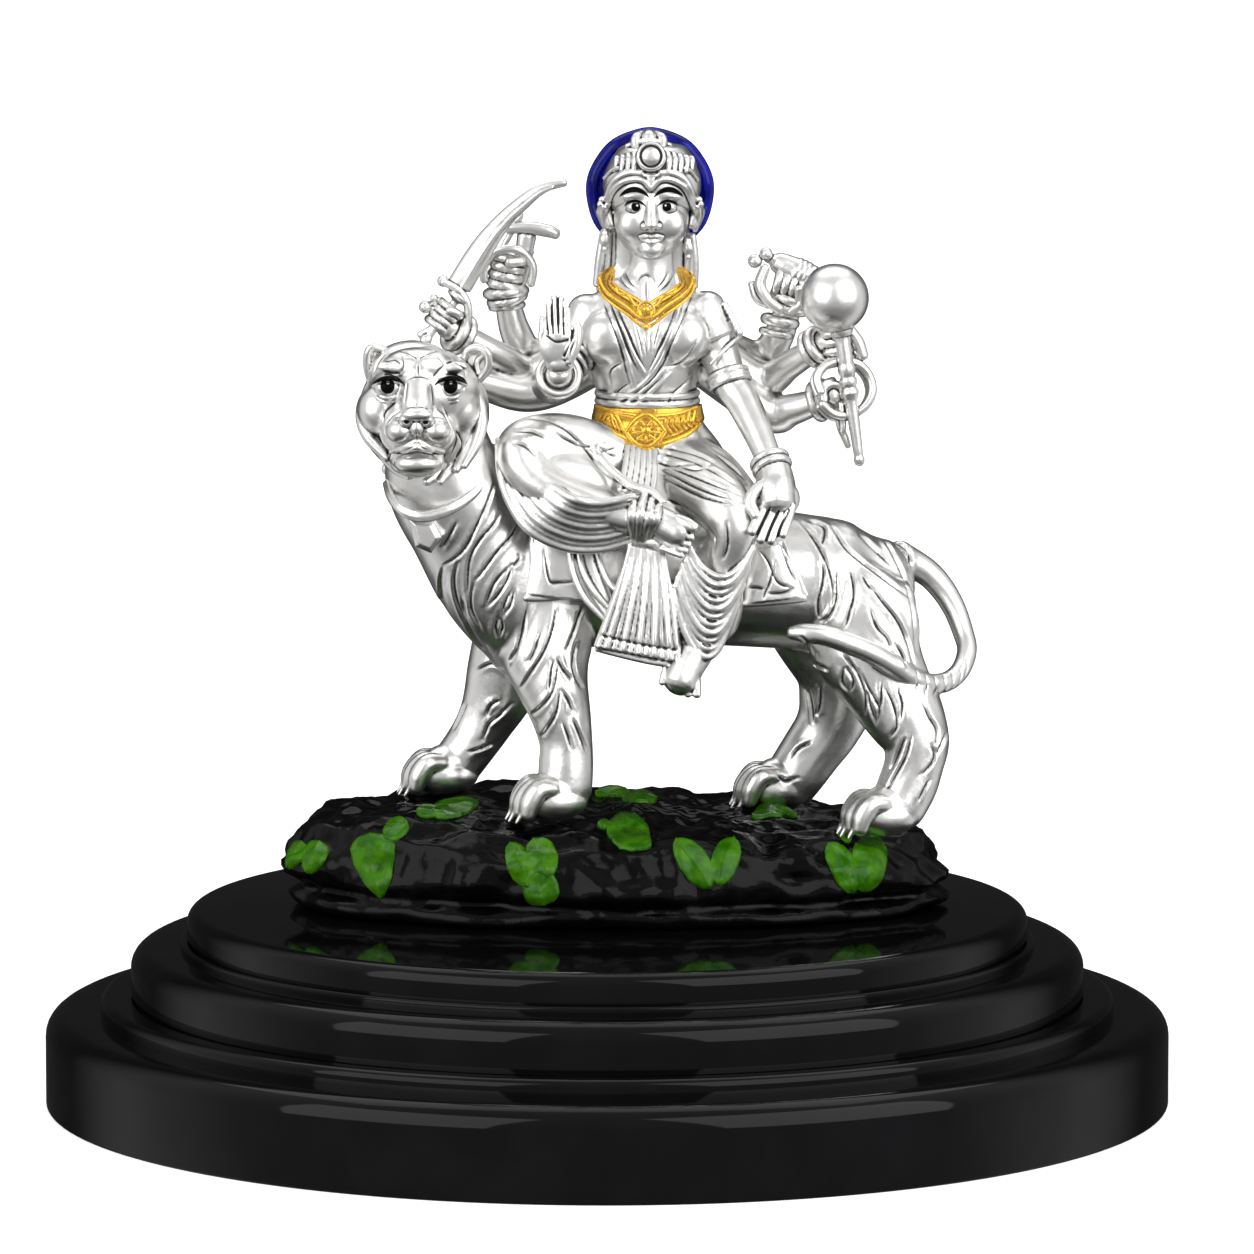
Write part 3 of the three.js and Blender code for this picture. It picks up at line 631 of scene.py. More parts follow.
def upon(u, v, centre, half):
    """The point that shows at a pixel on the front of an egg of three half-sizes."""
    way = way_through(u, v)
    start, run = (EYE_AT - centre) / half, way / half
    a, b, c = run @ run, start @ run, start @ start - 1
    return EYE_AT + way * (-b - math.sqrt(max(0, b * b - a * c))) / a


def draped(bm, pixels, centre, half, radius, lift=0.1, taper=0.5, sides=12):
    """A roll along a line of pixels that lies on the front of an egg."""
    count = len(pixels)
    swell = tapered(count, taper)
    on = [upon(u, v, centre, np.add(half, lift)) for u, v in pixels]
    return roll(bm, [(*place, radius * w) for place, w in zip(on, swell)], sides, 7 * count)

# %% Cutting tools


def arrays_of(mesh):
    place = np.empty(len(mesh.vertices) * 3, np.float32)
    mesh.vertices.foreach_get("co", place)
    normal = np.empty(len(mesh.vertices) * 3, np.float32)
    mesh.vertex_normals.foreach_get("vector", normal)
    return place.reshape(-1, 3).astype(float), normal.reshape(-1, 3).astype(float)


def beside(flat, path):
    """Signed distance of flat places from a path, and how far along it each lies."""
    best = np.full(len(flat), 1e9)
    signed = np.zeros(len(flat))
    share = np.zeros(len(flat))
    for i, (a, b) in enumerate(zip(path, path[1:])):
        run = b - a
        t = np.clip(((flat - a) @ run) / max(run.dot(run), 1e-9), 0, 1)
        off = flat - (a + t[:, None] * run)
        far = np.hypot(off[:, 0], off[:, 1])
        closer = far < best
        best = np.where(closer, far, best)
        way = np.sign(run[0] * off[:, 1] - run[1] * off[:, 0])
        signed = np.where(closer, far * way, signed)
        share = np.where(closer, (i + t) / (len(path) - 1), share)
    return signed, share


def cut(piece, lines, width, depth, side=-1, steep=1.0, within=None, blunt=False):
    """Cuts lines of pixels into a piece, to a width in pixels. A positive depth stands out. side
    is -1 for the front, 1 for the back and 0 for both. steep under 1 narrows one flank. within
    is the nearest and farthest Y that is cut. A third number in a point scales the width."""
    mesh = piece.data
    place, normal = arrays_of(mesh)
    picture = seen(place)
    move = np.zeros(len(place))
    allowed = np.ones(len(place), bool)
    if within:
        allowed = (place[:, 1] > within[0]) & (place[:, 1] < within[1])
    for line in lines:
        line = np.asarray(line, float)
        path = smooth_line(line, 5 * len(line))
        reach = width * (line[:, 2].max() if line.shape[1] > 2 else 1)
        low, high = path[:, :2].min(0) - reach, path[:, :2].max(0) + reach
        near = np.where(allowed & (picture > low).all(1) & (picture < high).all(1))[0]
        if not len(near):
            continue
        signed, share = beside(picture[near], path[:, :2])
        wide = np.full(len(near), float(width))
        if line.shape[1] > 2:
            wide *= np.interp(share, np.linspace(0, 1, len(line)), line[:, 2])
        wide = np.where(signed > 0, wide * steep, wide)
        value = np.clip(1 - (signed / wide) ** 2, 0, 1) ** 2
        if not blunt:
            value *= np.clip(np.sin(np.pi * share), 0, 1) ** 0.6
        move[near] = np.maximum(move[near], value)
    lean = normal[:, 1] * side if side else np.abs(normal[:, 1])
    facing = np.clip((lean + 0.05) / 0.35, 0, 1)
    place += normal * (move * facing * depth)[:, None]
    mesh.vertices.foreach_set("co", place.astype(np.float32).ravel())
    mesh.update()
    return piece


def mark_creases(piece, reach=3):
    """Keeps, at each point, how deep in a crease it lies, for the finish to shade."""
    mesh = piece.data
    place, normal = arrays_of(mesh)
    count = len(place)
    ends = np.empty(len(mesh.edges) * 2, np.int32)
    mesh.edges.foreach_get("vertices", ends)
    a, b = ends.reshape(-1, 2).T
    degree = np.maximum(np.bincount(a, minlength=count) + np.bincount(b, minlength=count), 1)

    def spread(values):
        return (
            np.bincount(a, values[b], minlength=count) + np.bincount(b, values[a], minlength=count)
        ) / degree

    blurred = place.copy()
    for _ in range(reach):
        blurred = np.stack([spread(blurred[:, k]) for k in range(3)], 1)
    length = np.linalg.norm(place[a] - place[b], axis=1).mean()
    depth = ((blurred - place) * normal).sum(1) / length
    depth = spread(depth)
    layer = mesh.attributes.new("crevice", "FLOAT", "POINT")
    layer.data.foreach_set("value", np.clip(depth * 2.0, 0, 1).astype(np.float32))
    return piece

# %% [markdown]
# ## The plinth
# A turner would cut this from one block: three steps with rounded rims, a ring at the foot of the
# middle one and a fine bead under the top one. We draw half its outline and spin it. Each rim is
# rounded by a bevel before the spin, so the light runs round it in one unbroken line.

# %% Plinth


def lacquer_sheet():
    sheet = Sheet("piano lacquer")
    haze = sheet.cloud(0.12, 3)
    specks = sheet.cloud(6, 2).step(0.72, 0.76)
    colour = sheet.mix(haze.step(0.35, 0.7), (0.0015, 0.0015, 0.0018, 1), (0.0025, 0.0025, 0.003, 1))
    colour = sheet.mix(specks * 0.4, colour, (0.02, 0.02, 0.02, 1))
    sheet.set(base_color=colour, roughness=0.04 + 0.04 * haze, ior=1.24)
    sheet.bumped(haze, 0.05, 0.3)
    return sheet.material


PLINTH = {
    "bottom": (50.0, 0.0, 8.2, 2.0),
    "ring": (45.1, 8.2, 9.7, 0.72),
    "middle": (42.4, 10.0, 14.0, 1.8),
    "bead": (38.0, 14.0, 14.65, 0.3),
    "top": (37.4, 14.95, 17.35, 1.2),
}
RECESS = 0.4


def plinth_outline():
    """Radius, height and rounding of each corner, from the underside to the top, in mm."""
    corners = [(0, 0, 0)]
    order = list(PLINTH.values())
    for i, (radius, foot, top, rounding) in enumerate(order):
        corners.append((radius, foot, 0.25 if i == 0 else 0))
        corners.append((radius, top, rounding))
        if i + 1 < len(order):
            above = order[i + 1]
            if above[1] > top:
                corners += [(above[0] - RECESS, top, 0), (above[0] - RECESS, above[1], 0)]
    return corners + [(0, PLINTH["top"][2], 0)]


def plinth_mesh():
    bm = bmesh.new()
    corners = plinth_outline()
    points = [bm.verts.new((radius / 1000, 0, height / 1000)) for radius, height, _ in corners]
    for pair in zip(points, points[1:]):
        bm.edges.new(pair)
    for point, (_, _, round_by) in list(zip(points, corners)):
        if round_by:
            bmesh.ops.bevel(
                bm,
                geom=[point],
                offset=round_by / 1000,
                segments=8,
                profile=0.5,
                affect="VERTICES",
                material=-1,
            )
    bmesh.ops.spin(
        bm,
        geom=bm.verts[:] + bm.edges[:],
        axis=(0, 0, 1),
        cent=(0, 0, 0),
        steps=160,
        angle=2 * math.pi,
        use_merge=True,
    )
    bmesh.ops.remove_doubles(bm, verts=bm.verts[:], dist=1e-6)
    bmesh.ops.recalc_face_normals(bm, faces=bm.faces[:])
    mesh = bpy.data.meshes.new("stepped plinth")
    bm.to_mesh(mesh)
    bm.free()
    mesh.shade_smooth()
    mesh.set_sharp_from_angle(angle=math.radians(40))
    return mesh


stepped = show("stepped_plinth", plinth_mesh(), lacquer_sheet())
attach(stepped, "root")
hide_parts("plinth")

# %% [markdown]
# ## The rock
# The ground is a loaf of rough boulders over a low ledge, cast in one and painted a wet black.
# It could be made from noise alone, but then its overhang would be lost. So a ball is drawn out
# to the same outline as the solid, and only then roughened by noise of three sizes.

# %% Rock
ROCK_HALF = (42.4, 22.2)
ROCK_X = 1.2
ROCK_PROFILE = [
    (0.0, 0.0), (0.93, 0.0), (0.99, 0.05), (1.0, 0.14), (0.965, 0.21), (0.955, 0.26), (0.995, 0.36),
    (1.0, 0.46), (0.97, 0.64), (0.92, 0.82), (0.82, 0.95), (0.6, 0.99), (0.3, 1.0), (0.0, 1.0),
]


def ground(x, y):
    return 12.7 - 0.035 * x + 0.045 * y


def lumps(angle, level):
    return (
        0.5 * np.sin(5 * angle + 2 * level)
        + 0.3 * np.sin(9 * angle - 3 * level + 1)
        + 0.2 * np.sin(13 * angle + 4 * level + 2)
    )


def rock_point(angle, share, level):
    """The rock's surface at a share of its half size and of the ground's height."""
    swell = 1 + 0.03 * lumps(angle, 4 * level)
    x = ROCK_X + share * swell * ROCK_HALF[0] * math.cos(angle)
    y = share * swell * ROCK_HALF[1] * math.sin(angle)
    bump = 0.7 * share * lumps(2 * angle, 5 * share) if share < 0.9 else 0
    return Vector((x, y, level * (ground(x, y) + bump)))


def rough(point, seed):
    """Roughness of the rock at a place: boulders, facets and fine wrinkles."""
    at = Vector(point) + Vector((seed, 0, 0))
    boulders = noise.noise(at * 0.13)
    ridges = 1 - abs(noise.noise(at * 0.24 + Vector((1, 7, 4)))) * 2
    wrinkles = 1 - abs(noise.noise(at * 0.55 + Vector((9, 3, 1)))) * 2
    veins = max(0, 1 - abs(noise.noise(at * 0.42 + Vector((4, 4, 8)))) * 14)
    return 1.9 * boulders + 1.0 * ridges + 0.28 * wrinkles + 0.16 * veins - 1.1


def rock_piece():
    bm = bmesh.new()
    sides, rows = ((280, 140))
    ball = bmesh.ops.create_uvsphere(bm, u_segments=sides, v_segments=rows, radius=1)["verts"]
    profile = np.array(ROCK_PROFILE)
    run = np.concatenate([[0], np.cumsum(np.hypot(*np.diff(profile * (42, 12), axis=0).T))])
    for point in ball:
        along = math.acos(max(-1, min(1, -point.co.z))) / math.pi * run[-1]
        share = np.interp(along, run, profile[:, 0])
        level = np.interp(along, run, profile[:, 1])
        angle = math.atan2(point.co.y, point.co.x)
        place = rock_point(angle, share, level)
        out = Vector((math.cos(angle) * share**2, math.sin(angle) * share**2, level**2)).normalized()
        keep = min(1.0, level * 4) * 0.62
        place += out * rough(place, 3.7) * keep
        place.z = max(place.z, 0)
        point.co = place
    mesh = bpy.data.meshes.new("rock")
    bm.to_mesh(mesh)
    bm.free()
    piece = show("rock", mesh, black_rock)
    return mark_creases(piece, 5)


rock = rock_piece()
rock_corners = ([v.co.copy() for v in rock.data.vertices], [p.vertices[:] for p in rock.data.polygons])
finished(rock)

# %% [markdown]
# ### Leaves
# The leaves lie against the rock as the eye finds them, so each is drawn in the photograph's
# pixels, as a middle line and its half widths. A ray finds the rock behind each point of the
# blade, the bumps are smoothed out of it, and ribs are raised along it. The last two in the list
# lie on the far side, as seen from a mirrored eye behind the figure.

# %% Leaves
LEAVES = [
    ([(372, 833), (375, 862), (382, 899)], (15, 22, 20, 14, 3), -1),
    ([(386, 840), (397, 829), (409, 824)], (6, 9, 10, 9, 5), -1),
    ([(479, 803), (457, 808), (432, 813)], (2, 8, 9, 9, 7), -1),
    ([(443, 813), (430, 812), (416, 813)], (2, 5, 6, 6, 3), -1),
    ([(304, 842), (296, 856), (289, 869)], (7, 8, 8, 6, 3), -1),
    ([(322, 842), (315, 857), (308, 874)], (9, 11, 11, 9, 5), -1),
    ([(510, 843), (520, 864), (528, 889)], (6, 11, 14, 12, 4), -1),
    ([(534, 839), (543, 860), (548, 880)], (9, 15, 16, 12, 5), -1),
    ([(536, 872), (541, 888), (545, 905)], (8, 16, 18, 17, 12), -1),
    ([(606, 828), (627, 832), (651, 848)], (7, 15, 19, 15, 3), -1),
    ([(611, 827), (604, 825), (597, 826)], (3, 4, 5, 4, 2), -1),
    ([(675, 839), (692, 860), (710, 889)], (5, 12, 15, 14, 6), -1),
    ([(734, 838), (726, 858), (717, 886)], (6, 12, 14, 13, 6), -1),
    ([(827, 843), (841, 863), (853, 894)], (5, 11, 13, 12, 6), -1),
    ([(872, 834), (868, 860), (863, 893)], (8, 16, 18, 17, 9), -1),
    ([(595, 795), (613, 791), (631, 796)], (3, 5, 6, 5, 2), -1),
    ([(622, 800), (640, 797), (657, 801)], (2, 5, 6, 5, 3), -1),
    ([(752, 818), (772, 810), (797, 817)], (3, 6, 7, 5, 2), -1),
    ([(838, 829), (845, 836), (850, 843)], (3, 5, 5, 4, 2), -1),
    ([(748, 840), (752, 862), (748, 890)], (9, 16, 17, 12, 3), 1),
    ([(520, 842), (516, 864), (520, 892)], (8, 14, 15, 11, 3), 1),
]
LEAF_ROWS = 25
LEAF_THICK = 0.9


def leaf(bm, rock_skin, middle, widths, side):
    """One blade between the eye and the rock. side is 1 for a leaf on the far side."""
    line = smooth_line(middle, LEAF_ROWS)
    run = np.gradient(line, axis=0)
    run /= np.linalg.norm(run, axis=1)[:, None]
    out = np.stack([-run[:, 1], run[:, 0]], 1)
    steps = np.linspace(0, 1, LEAF_ROWS)
    half = np.interp(steps, np.linspace(0, 1, len(widths)), widths)
    half = np.maximum(half * np.sqrt(np.clip(1.02 - np.linspace(-1, 1, LEAF_ROWS) ** 8, 0, 1)), 0.6)
    flip = np.array([1, -side, 1])
    origin = Vector(EYE_AT * flip)

    def way_to(pixel):
        near = np.array(spot(*pixel, -22)) * flip
        return (Vector(near) - origin).normalized()

    def on_rock(pixel):
        """The rock behind a pixel, or a little lower where the pixel is past the rock's edge."""
        hit = None
        while not hit:
            hit, out_of_rock = rock_skin.ray_cast(origin, way_to(pixel))[:2]
            pixel = pixel + (0, 2)
        return hit, out_of_rock if out_of_rock.dot(hit - origin) < 0 else -out_of_rock

    own = bmesh.new()
    bmesh.ops.create_grid(own, x_segments=LEAF_ROWS - 1, y_segments=14, size=1)
    lifts, away = [], Vector()
    for point in own.verts:
        along, across = (point.co.x + 1) / 2, point.co.y
        i = round(along * (LEAF_ROWS - 1))
        vein = abs((along * 5 + abs(across) * 1.6) % 1 - 0.5)
        rib = max(0, 1 - abs(across) * 9) + 0.45 * max(0, 1 - (0.5 - vein) * 7) * (abs(across) < 0.8)
        lifts.append(0.22 + 0.3 * (1 - across * across) + 0.1 * rib + 0.15 * math.sin(2.4 * along))
        point.co, faces = on_rock(line[i] + out[i] * half[i] * across)
        away += faces
    away.normalize()
    inner = [v for v in own.verts if not v.is_boundary]
    axes = {"use_axis_x": True, "use_axis_y": True, "use_axis_z": True}
    for _ in range(6):
        bmesh.ops.smooth_vert(own, verts=inner, factor=0.5, **axes)
    for point, lift in zip(own.verts, lifts):
        point.co += away * lift
    made = bmesh.ops.extrude_face_region(own, geom=own.faces[:])["geom"]
    under = [part for part in made if isinstance(part, bmesh.types.BMVert)]
    bmesh.ops.translate(own, vec=-away * LEAF_THICK, verts=under)
    bmesh.ops.recalc_face_normals(own, faces=own.faces)
    poured(own, bm)


def leaves_piece():
    bm = bmesh.new()
    skin = BVHTree.FromPolygons(*rock_corners)
    for middle, widths, side in LEAVES:
        leaf(bm, skin, middle, widths, side)
    mesh = bpy.data.meshes.new("leaves")
    bm.to_mesh(mesh)
    bm.free()
    piece = show("leaves", mesh, green)
    return mark_creases(piece, 3)


leaves = leaves_piece()
finished(leaves)

# %% [markdown]
# ## The tiger
# The tiger walks with its head turned to the front. Its body, legs and tail are rolls that follow
# the solids' own lines, with muscles laid on as eggs, all melted into one skin. Then its coat is
# cut in: long, pointed locks that start at the spine and the shoulder and run down and back.

# %% Tiger's rolls
TIGER_ROLLS = {
    "torso": [
        (34.4, 0.5, 41.2, 6.2),
        (30.4, 0.3, 41.2, 8.2, 9.2),
        (24, 0, 41.8, 8.7, 9.8),
        (11.8, 0, 43.0, 9.4, 9.8),
        (-2, -0.6, 44.2, 10.8, 10.4),
        (-11.3, -2, 45.4, 10.6, 9.8),
        (-15.0, -3.4, 46, 7.4, 7.4),
    ],
    "neck": marks(
        (433, 432, -9.6, 6.4, 5.4),
        (446, 482, -8.0, 7.6, 7.0),
        (470, 524, -6.2, 7.9, 7.6),
        (491, 562, -4.8, 8.1, 8.4),
        (508, 602, -4.0, 7.1, 8.0),
        (524, 642, -3.2, 5.0, 6.0),
    ),
    "near foreleg": marks(
        (545, 596, -6.2, 6.2, 4.6),
        (546, 650, -7.6, 5.9, 4.6),
        (552, 682, -8.6, 4.7, 4.2),
        (561, 715, -9.2, 3.85, 3.7),
        (566, 742, -9.4, 3.4, 3.3),
        (566, 764, -9.5, 3.5),
        (565, 788, -9.7, 3.5),
    ),
    "far foreleg": marks(
        (520, 618, 6.0, 5.6, 4.6),
        (506, 664, 6.8, 4.9, 4.5),
        (499, 692, 7.2, 4.6, 4.2),
        (485, 722, 7.4, 3.7, 3.6),
        (471, 744, 7.4, 3.4, 3.4),
        (455, 766, 7.2, 3.3),
    ),
    "near hind leg": marks(
        (858, 606, -4.6, 7.4, 5.4),
        (867, 648, -5.8, 6.9, 5.4),
        (887, 686, -6.8, 5.7, 4.9),
        (905, 716, -7.8, 5.1, 4.4),
        (916, 742, -8.5, 4.3, 3.9),
        (914, 764, -8.9, 3.8, 3.6),
        (908, 784, -9.2, 3.8, 3.5),
        (898, 806, -9.6, 3.6),
    ),
    "far hind leg": marks(
        (824, 628, 5.4, 7, 5.2),
        (838, 672, 6.4, 5.5, 4.8),
        (836, 704, 7.0, 4.9, 4.3),
        (827, 728, 7.4, 4.3, 4.0),
        (812, 750, 7.4, 4.0, 3.8),
        (797, 772, 7.3, 3.8),
        (787, 788, 7.2, 3.5),
    ),
    "tail": marks(
        (898, 556, 1.4, 2.1),
        (925, 571, 2.4, 1.8),
        (941, 587, 2.4, 1.65),
        (954, 608, 1.6, 1.5),
        (963, 632, 0.2, 1.36),
        (967, 650, -1.4, 1.28),
        (961, 669, -3.4, 1.25),
        (948, 681, -5.6, 1.28),
        (930, 684, -7.8, 1.33),
        (912, 678, -9.6, 1.4),
        (893, 666, -11.2, 1.42),
        (873, 654, -12.4, 1.4),
        (850, 644, -13.2, 1.35),
        (826, 636, -13.8, 1.3),
        (804, 633, -13.8, 1.2),
        (792, 633, -13.5, 0.85),
    ),
}


def paw(bm, centre, turn, size=1.14):
    """A paw that points to -X: a pad, four toes with a knuckle each, and short claws."""
    own = bmesh.new()
    egg(own, (0.6, 0, -0.3), (3.9, 2.9, 2.3))
    egg(own, (1.0, 0, 1.0), (3.0, 2.5, 2.2))
    for i in range(4):
        y = -2.3 + 1.53 * i
        ahead = -2.5 - 0.5 * (1 - (abs(i - 1.5) / 1.5) ** 2)
        toe = [(0, 0.8 * y, 1.3), (ahead * 0.6, y, 1.3), (ahead, y, 0), (ahead - 0.4, y, -1.4)]
        roll(own, [(*place, half) for place, half in zip(toe, (1.05, 1.15, 1.18, 0.95))], 16, 14)
        roll(own, [(ahead - 0.9, y, -1.2, 0.42), (ahead - 1.7, y, -2.4, 0.18)], 10, 6)
    stand = Matrix.Rotation(math.radians(turn), 4, "Z") @ Matrix.Scale(size, 4)
    poured(own, bm, Matrix.Translation(centre) @ stand)


CHEST_LOCKS = [
    [(457, 521), (449, 536), (441, 548)],
    [(497, 478), (487, 503), (477, 525), (466, 546), (455, 558), (442, 566)],
    [(502, 511), (492, 526), (479, 541), (470, 557), (467, 577), (468, 604)],
    [(520, 519), (512, 535), (498, 550), (484, 569), (474, 582)],
    [(512, 564), (497, 579), (489, 594), (485, 609)],
    [(512, 564), (507, 581), (496, 597), (485, 609)],
    [(513, 588), (505, 603), (500, 619)],
    [(514, 588), (511, 604), (501, 619)],
    [(498, 617), (495, 628), (498, 639)],
    [(500, 617), (502, 628), (498, 639)],
    [(443, 566), (439, 582), (441, 603), (450, 622), (462, 640)],
    [(458, 560), (453, 580), (456, 602), (466, 625), (480, 644)],
    [(462, 600), (464, 620), (474, 638), (486, 650)],
    [(474, 582), (470, 596), (471, 612), (482, 632)],
    [(521, 556), (516, 563), (511, 566)],
    [(535, 535), (539, 560), (534, 588), (528, 600)],
    [(529, 602), (523, 625), (517, 646), (510, 670)],
    [(541, 632), (533, 652), (528, 662)],
    [(557, 604), (552, 630), (543, 652), (530, 672), (520, 689)],
    [(582, 606), (575, 628), (566, 650)],
    [(553, 660), (550, 678), (549, 692)],
    [(559, 655), (554, 686), (545, 702), (531, 715)],
    [(560, 690), (555, 714), (541, 737)],
    [(560, 689), (568, 700), (573, 713)],
    [(572, 717), (580, 735), (587, 753)],
    [(577, 640), (573, 662), (576, 678), (583, 690)],
    [(556, 656), (562, 668), (572, 680)],
    [(521, 640), (514, 652), (509, 662)],
    [(562, 722), (568, 738), (571, 750)],
]
HAUNCH_LOCKS = [
    [(832, 526), (844, 546), (862, 562), (886, 580), (911, 598)],
    [(858, 532), (872, 546), (891, 566)],
    [(882, 536), (894, 556), (906, 582), (913, 608), (915, 632), (916, 655)],
    [(908, 545), (910, 560), (909, 575)],
    [(800, 520), (818, 546), (828, 568), (833, 590), (830, 613)],
    [(822, 545), (823, 578), (818, 602), (818, 618)],
    [(836, 570), (836, 596), (829, 614), (820, 622)],
    [(850, 567), (853, 594), (849, 612), (845, 627)],
    [(867, 581), (881, 600), (897, 620), (908, 643), (914, 666)],
    [(869, 608), (876, 626), (886, 637), (891, 648)],
    [(895, 642), (903, 655), (908, 668)],
    [(808, 520), (824, 527), (822, 545)],
    [(828, 514), (846, 521), (862, 528)],
    [(895, 542), (905, 548), (912, 556)],
    [(800, 636), (808, 646), (815, 655)],
    [(813, 664), (822, 668), (828, 672)],
    [(843, 667), (841, 682), (848, 692)],
    [(845, 667), (852, 680), (850, 692)],
    [(842, 652), (856, 672), (864, 694), (864, 716)],
    [(858, 668), (868, 690), (878, 708), (876, 726)],
    [(866, 688), (869, 705), (876, 726)],
    [(882, 681), (880, 702), (876, 722)],
    [(882, 683), (893, 706), (896, 726), (889, 738)],
    [(897, 688), (902, 704), (900, 721)],
    [(912, 733), (906, 754), (897, 771), (886, 790)],
    [(905, 737), (898, 752), (890, 770)],
    [(922, 700), (929, 716), (937, 730), (936, 745)],
    [(930, 743), (935, 755), (930, 766), (919, 776)],
    [(947, 732), (942, 744), (936, 756)],
    [(930, 778), (924, 790), (918, 802)],
    [(874, 590), (868, 584), (862, 574)],
]
FAR_LEG_LOCKS = [
    [(475, 671), (492, 664), (508, 672)],
    [(483, 741), (487, 730), (490, 724), (500, 716), (514, 702)],
    [(467, 753), (482, 749), (493, 744)],
    [(500, 700), (490, 706), (486, 716)],
    [(808, 690), (811, 708), (813, 724)],
    [(820, 684), (819, 704), (816, 716)],
    [(790, 758), (799, 748), (812, 742)],
    [(776, 770), (784, 780), (800, 778)],
    [(453, 731), (462, 712), (466, 704)],
]
TAIL_RINGS = [
    [(u, v - 9), (u + 1.5, v), (u - 1, v + 9)]
    for u, v in ((917, 680), (926, 684), (935, 686), (944, 685), (952, 681), (960, 675), (966, 667))
]


PAWS = [
    ((548, 798, -11), 14),
    ((439, 772, 6.2), 8),
    ((879, 813, -11), 14),
    ((771, 785, 6.2), 8),
]
MUSCLES = [
    ((32.4, -6.0, 36.8), (7.2, 4.6, 8.2), -18),
    ((28, 5.8, 35), (6.4, 4.2, 7.4), -10),
    ((-8.6, -6.6, 41), (6.2, 4.4, 8.4), 12),
    ((-11.2, 5.6, 40), (5.8, 4.2, 8), 14),
    ((-15.2, -4.4, 43.4), (6.2, 6.4, 9.0), -24),
]


def eggs(bm, rows, detail=4):
    """Eggs, each from its centre, its half-sizes and its tilt."""
    for centre, half, tilt in rows:
        egg(bm, centre, half, tilt=tilt, detail=detail)


def tiger_piece():
    under = bmesh.new()
    for name, stations in TIGER_ROLLS.items():
        if name != "tail":
            roll(under, stations, 32, 60 if name == "torso" else 40)
    eggs(under, MUSCLES)
    bm = bmesh.new()
    blended(bm, under, 0.34, 10)
    roll(bm, TIGER_ROLLS["tail"], 24, 90)
    for pixel, turn in PAWS:
        paw(bm, spot(*pixel), turn)
    return melted("tiger_body", bm, silver, 0.16, 3)


def groomed(piece):
    """The coat: each lock is a groove that is steep on one side, with a soft ridge beside it."""
    near = (-30, 1.5)
    for locks, reach in ((CHEST_LOCKS, near), (HAUNCH_LOCKS, near), (FAR_LEG_LOCKS, (-2, 30))):
        cut(piece, locks, 9, 0.2, within=reach)
        cut(piece, locks, 3.8, -0.42, steep=0.6, within=reach)
    for locks in (CHEST_LOCKS, HAUNCH_LOCKS):
        cut(piece, locks, 6, -0.35, side=1, steep=0.6, within=(-1, 30))
    cut(piece, TAIL_RINGS, 1.3, -0.12, blunt=True, within=(-30, 4))


tiger = tiger_piece()
groomed(tiger)
mark_creases(tiger)
finished(thinned(tiger, 150000))

# %% [markdown]
# ### The tiger's head, collar and saddle cloth
# The head looks out at us. Brows, pads, cheeks and chin are eggs on a round skull, and the ruff
# stands out behind the cheeks. The lids and pupils are black enamel.

# %% Head


SKULL = [
    ((-22.9, -12.0, 67.0), (7.0, 6.4, 5.8), 0),
    ((-22.8, -10.8, 64.8), (8.0, 4.8, 7.2), 0),
    (spot(424, 412, -10.4), (8.3, 3.0, 8.3), 0),
    (spot(412, 374, -10.4), (5.6, 4, 4.3), 0),
    (spot(453, 438, -13.2), (2.5, 2.2, 4.6), 14),
    (spot(416, 462, -14.2), (3.3, 2.4, 1.7), 0),
    (spot(418, 428, -15.4), (5.0, 4.0, 4.2), 0),
    (spot(380, 410, -13.8), (2.9, 2.9, 3.2), 0),
    (spot(456, 410, -13.4), (3.1, 2.9, 3.4), 0),
    (spot(418, 366, -14.8), (4.6, 3.2, 2.4), 0),
    (spot(417, 461, -16.2), (3.5, 3.0, 2.1), 0),
]
NOSE_RIDGE = marks(
    (418, 370, -15.6, 2.3, 2.0),
    (417, 390, -17.4, 2.0, 1.9),
    (417, 407, -19.0, 1.95, 1.7),
)
MUZZLE = [
    (spot(417, 414.5, -20.7), (2.0, 1.2, 0.85), 0),
    (spot(416.5, 428, -20.3), (0.85, 0.8, 1.1), 0),
    (spot(406.5, 419.5, -20.4), (1.0, 1.0, 0.95), 0),
    (spot(426.5, 419.5, -20.4), (1.0, 1.0, 0.95), 0),
    (spot(400, 430.5, -18.9), (1.85, 1.9, 1.6), 0),
    (spot(436, 430.5, -18.9), (1.85, 1.9, 1.6), 0),
    (spot(417, 463.5, -18.6), (2.9, 2.0, 1.4), 0),
]
MOUTH = [(402, 451), (409, 448.5), (417, 447), (425, 448.5), (432, 451)]
TIGER_EYES = ((387.5, 1), (450.5, -1))


RUFF = [
    [(376, 385), (364, 400), (362, 420), (370, 440), (387, 458)],
    [(371, 402), (367, 424), (376, 444), (394, 464)],
    [(374, 425), (379, 447), (396, 468), (410, 476)],
    [(467, 380), (478, 400), (482, 420), (476, 444), (464, 466)],
    [(470, 402), (475, 422), (469, 446), (456, 470)],
    [(464, 420), (463, 442), (454, 464), (440, 482)],
    [(458, 436), (452, 456), (440, 472), (426, 482)],
]
EAR_RIMS = [
    [(371, 384), (367, 368), (367.5, 353), (373, 347), (384, 350), (395, 358)],
    [(464, 358), (468, 350), (478, 347.5), (487.5, 353), (488, 366), (482, 376), (474, 383)],
]
EAR_BACKS = [
    (spot(380, 365, -9.9), (2.0, 0.7, 2.3), -30),
    (spot(476, 366, -9.9), (2.0, 0.7, 2.3), 20),
]
EAR_TUFTS = [
    [(484, 355), (477, 362), (479, 374)],
    [(374, 352), (379, 362), (388, 366)],
]


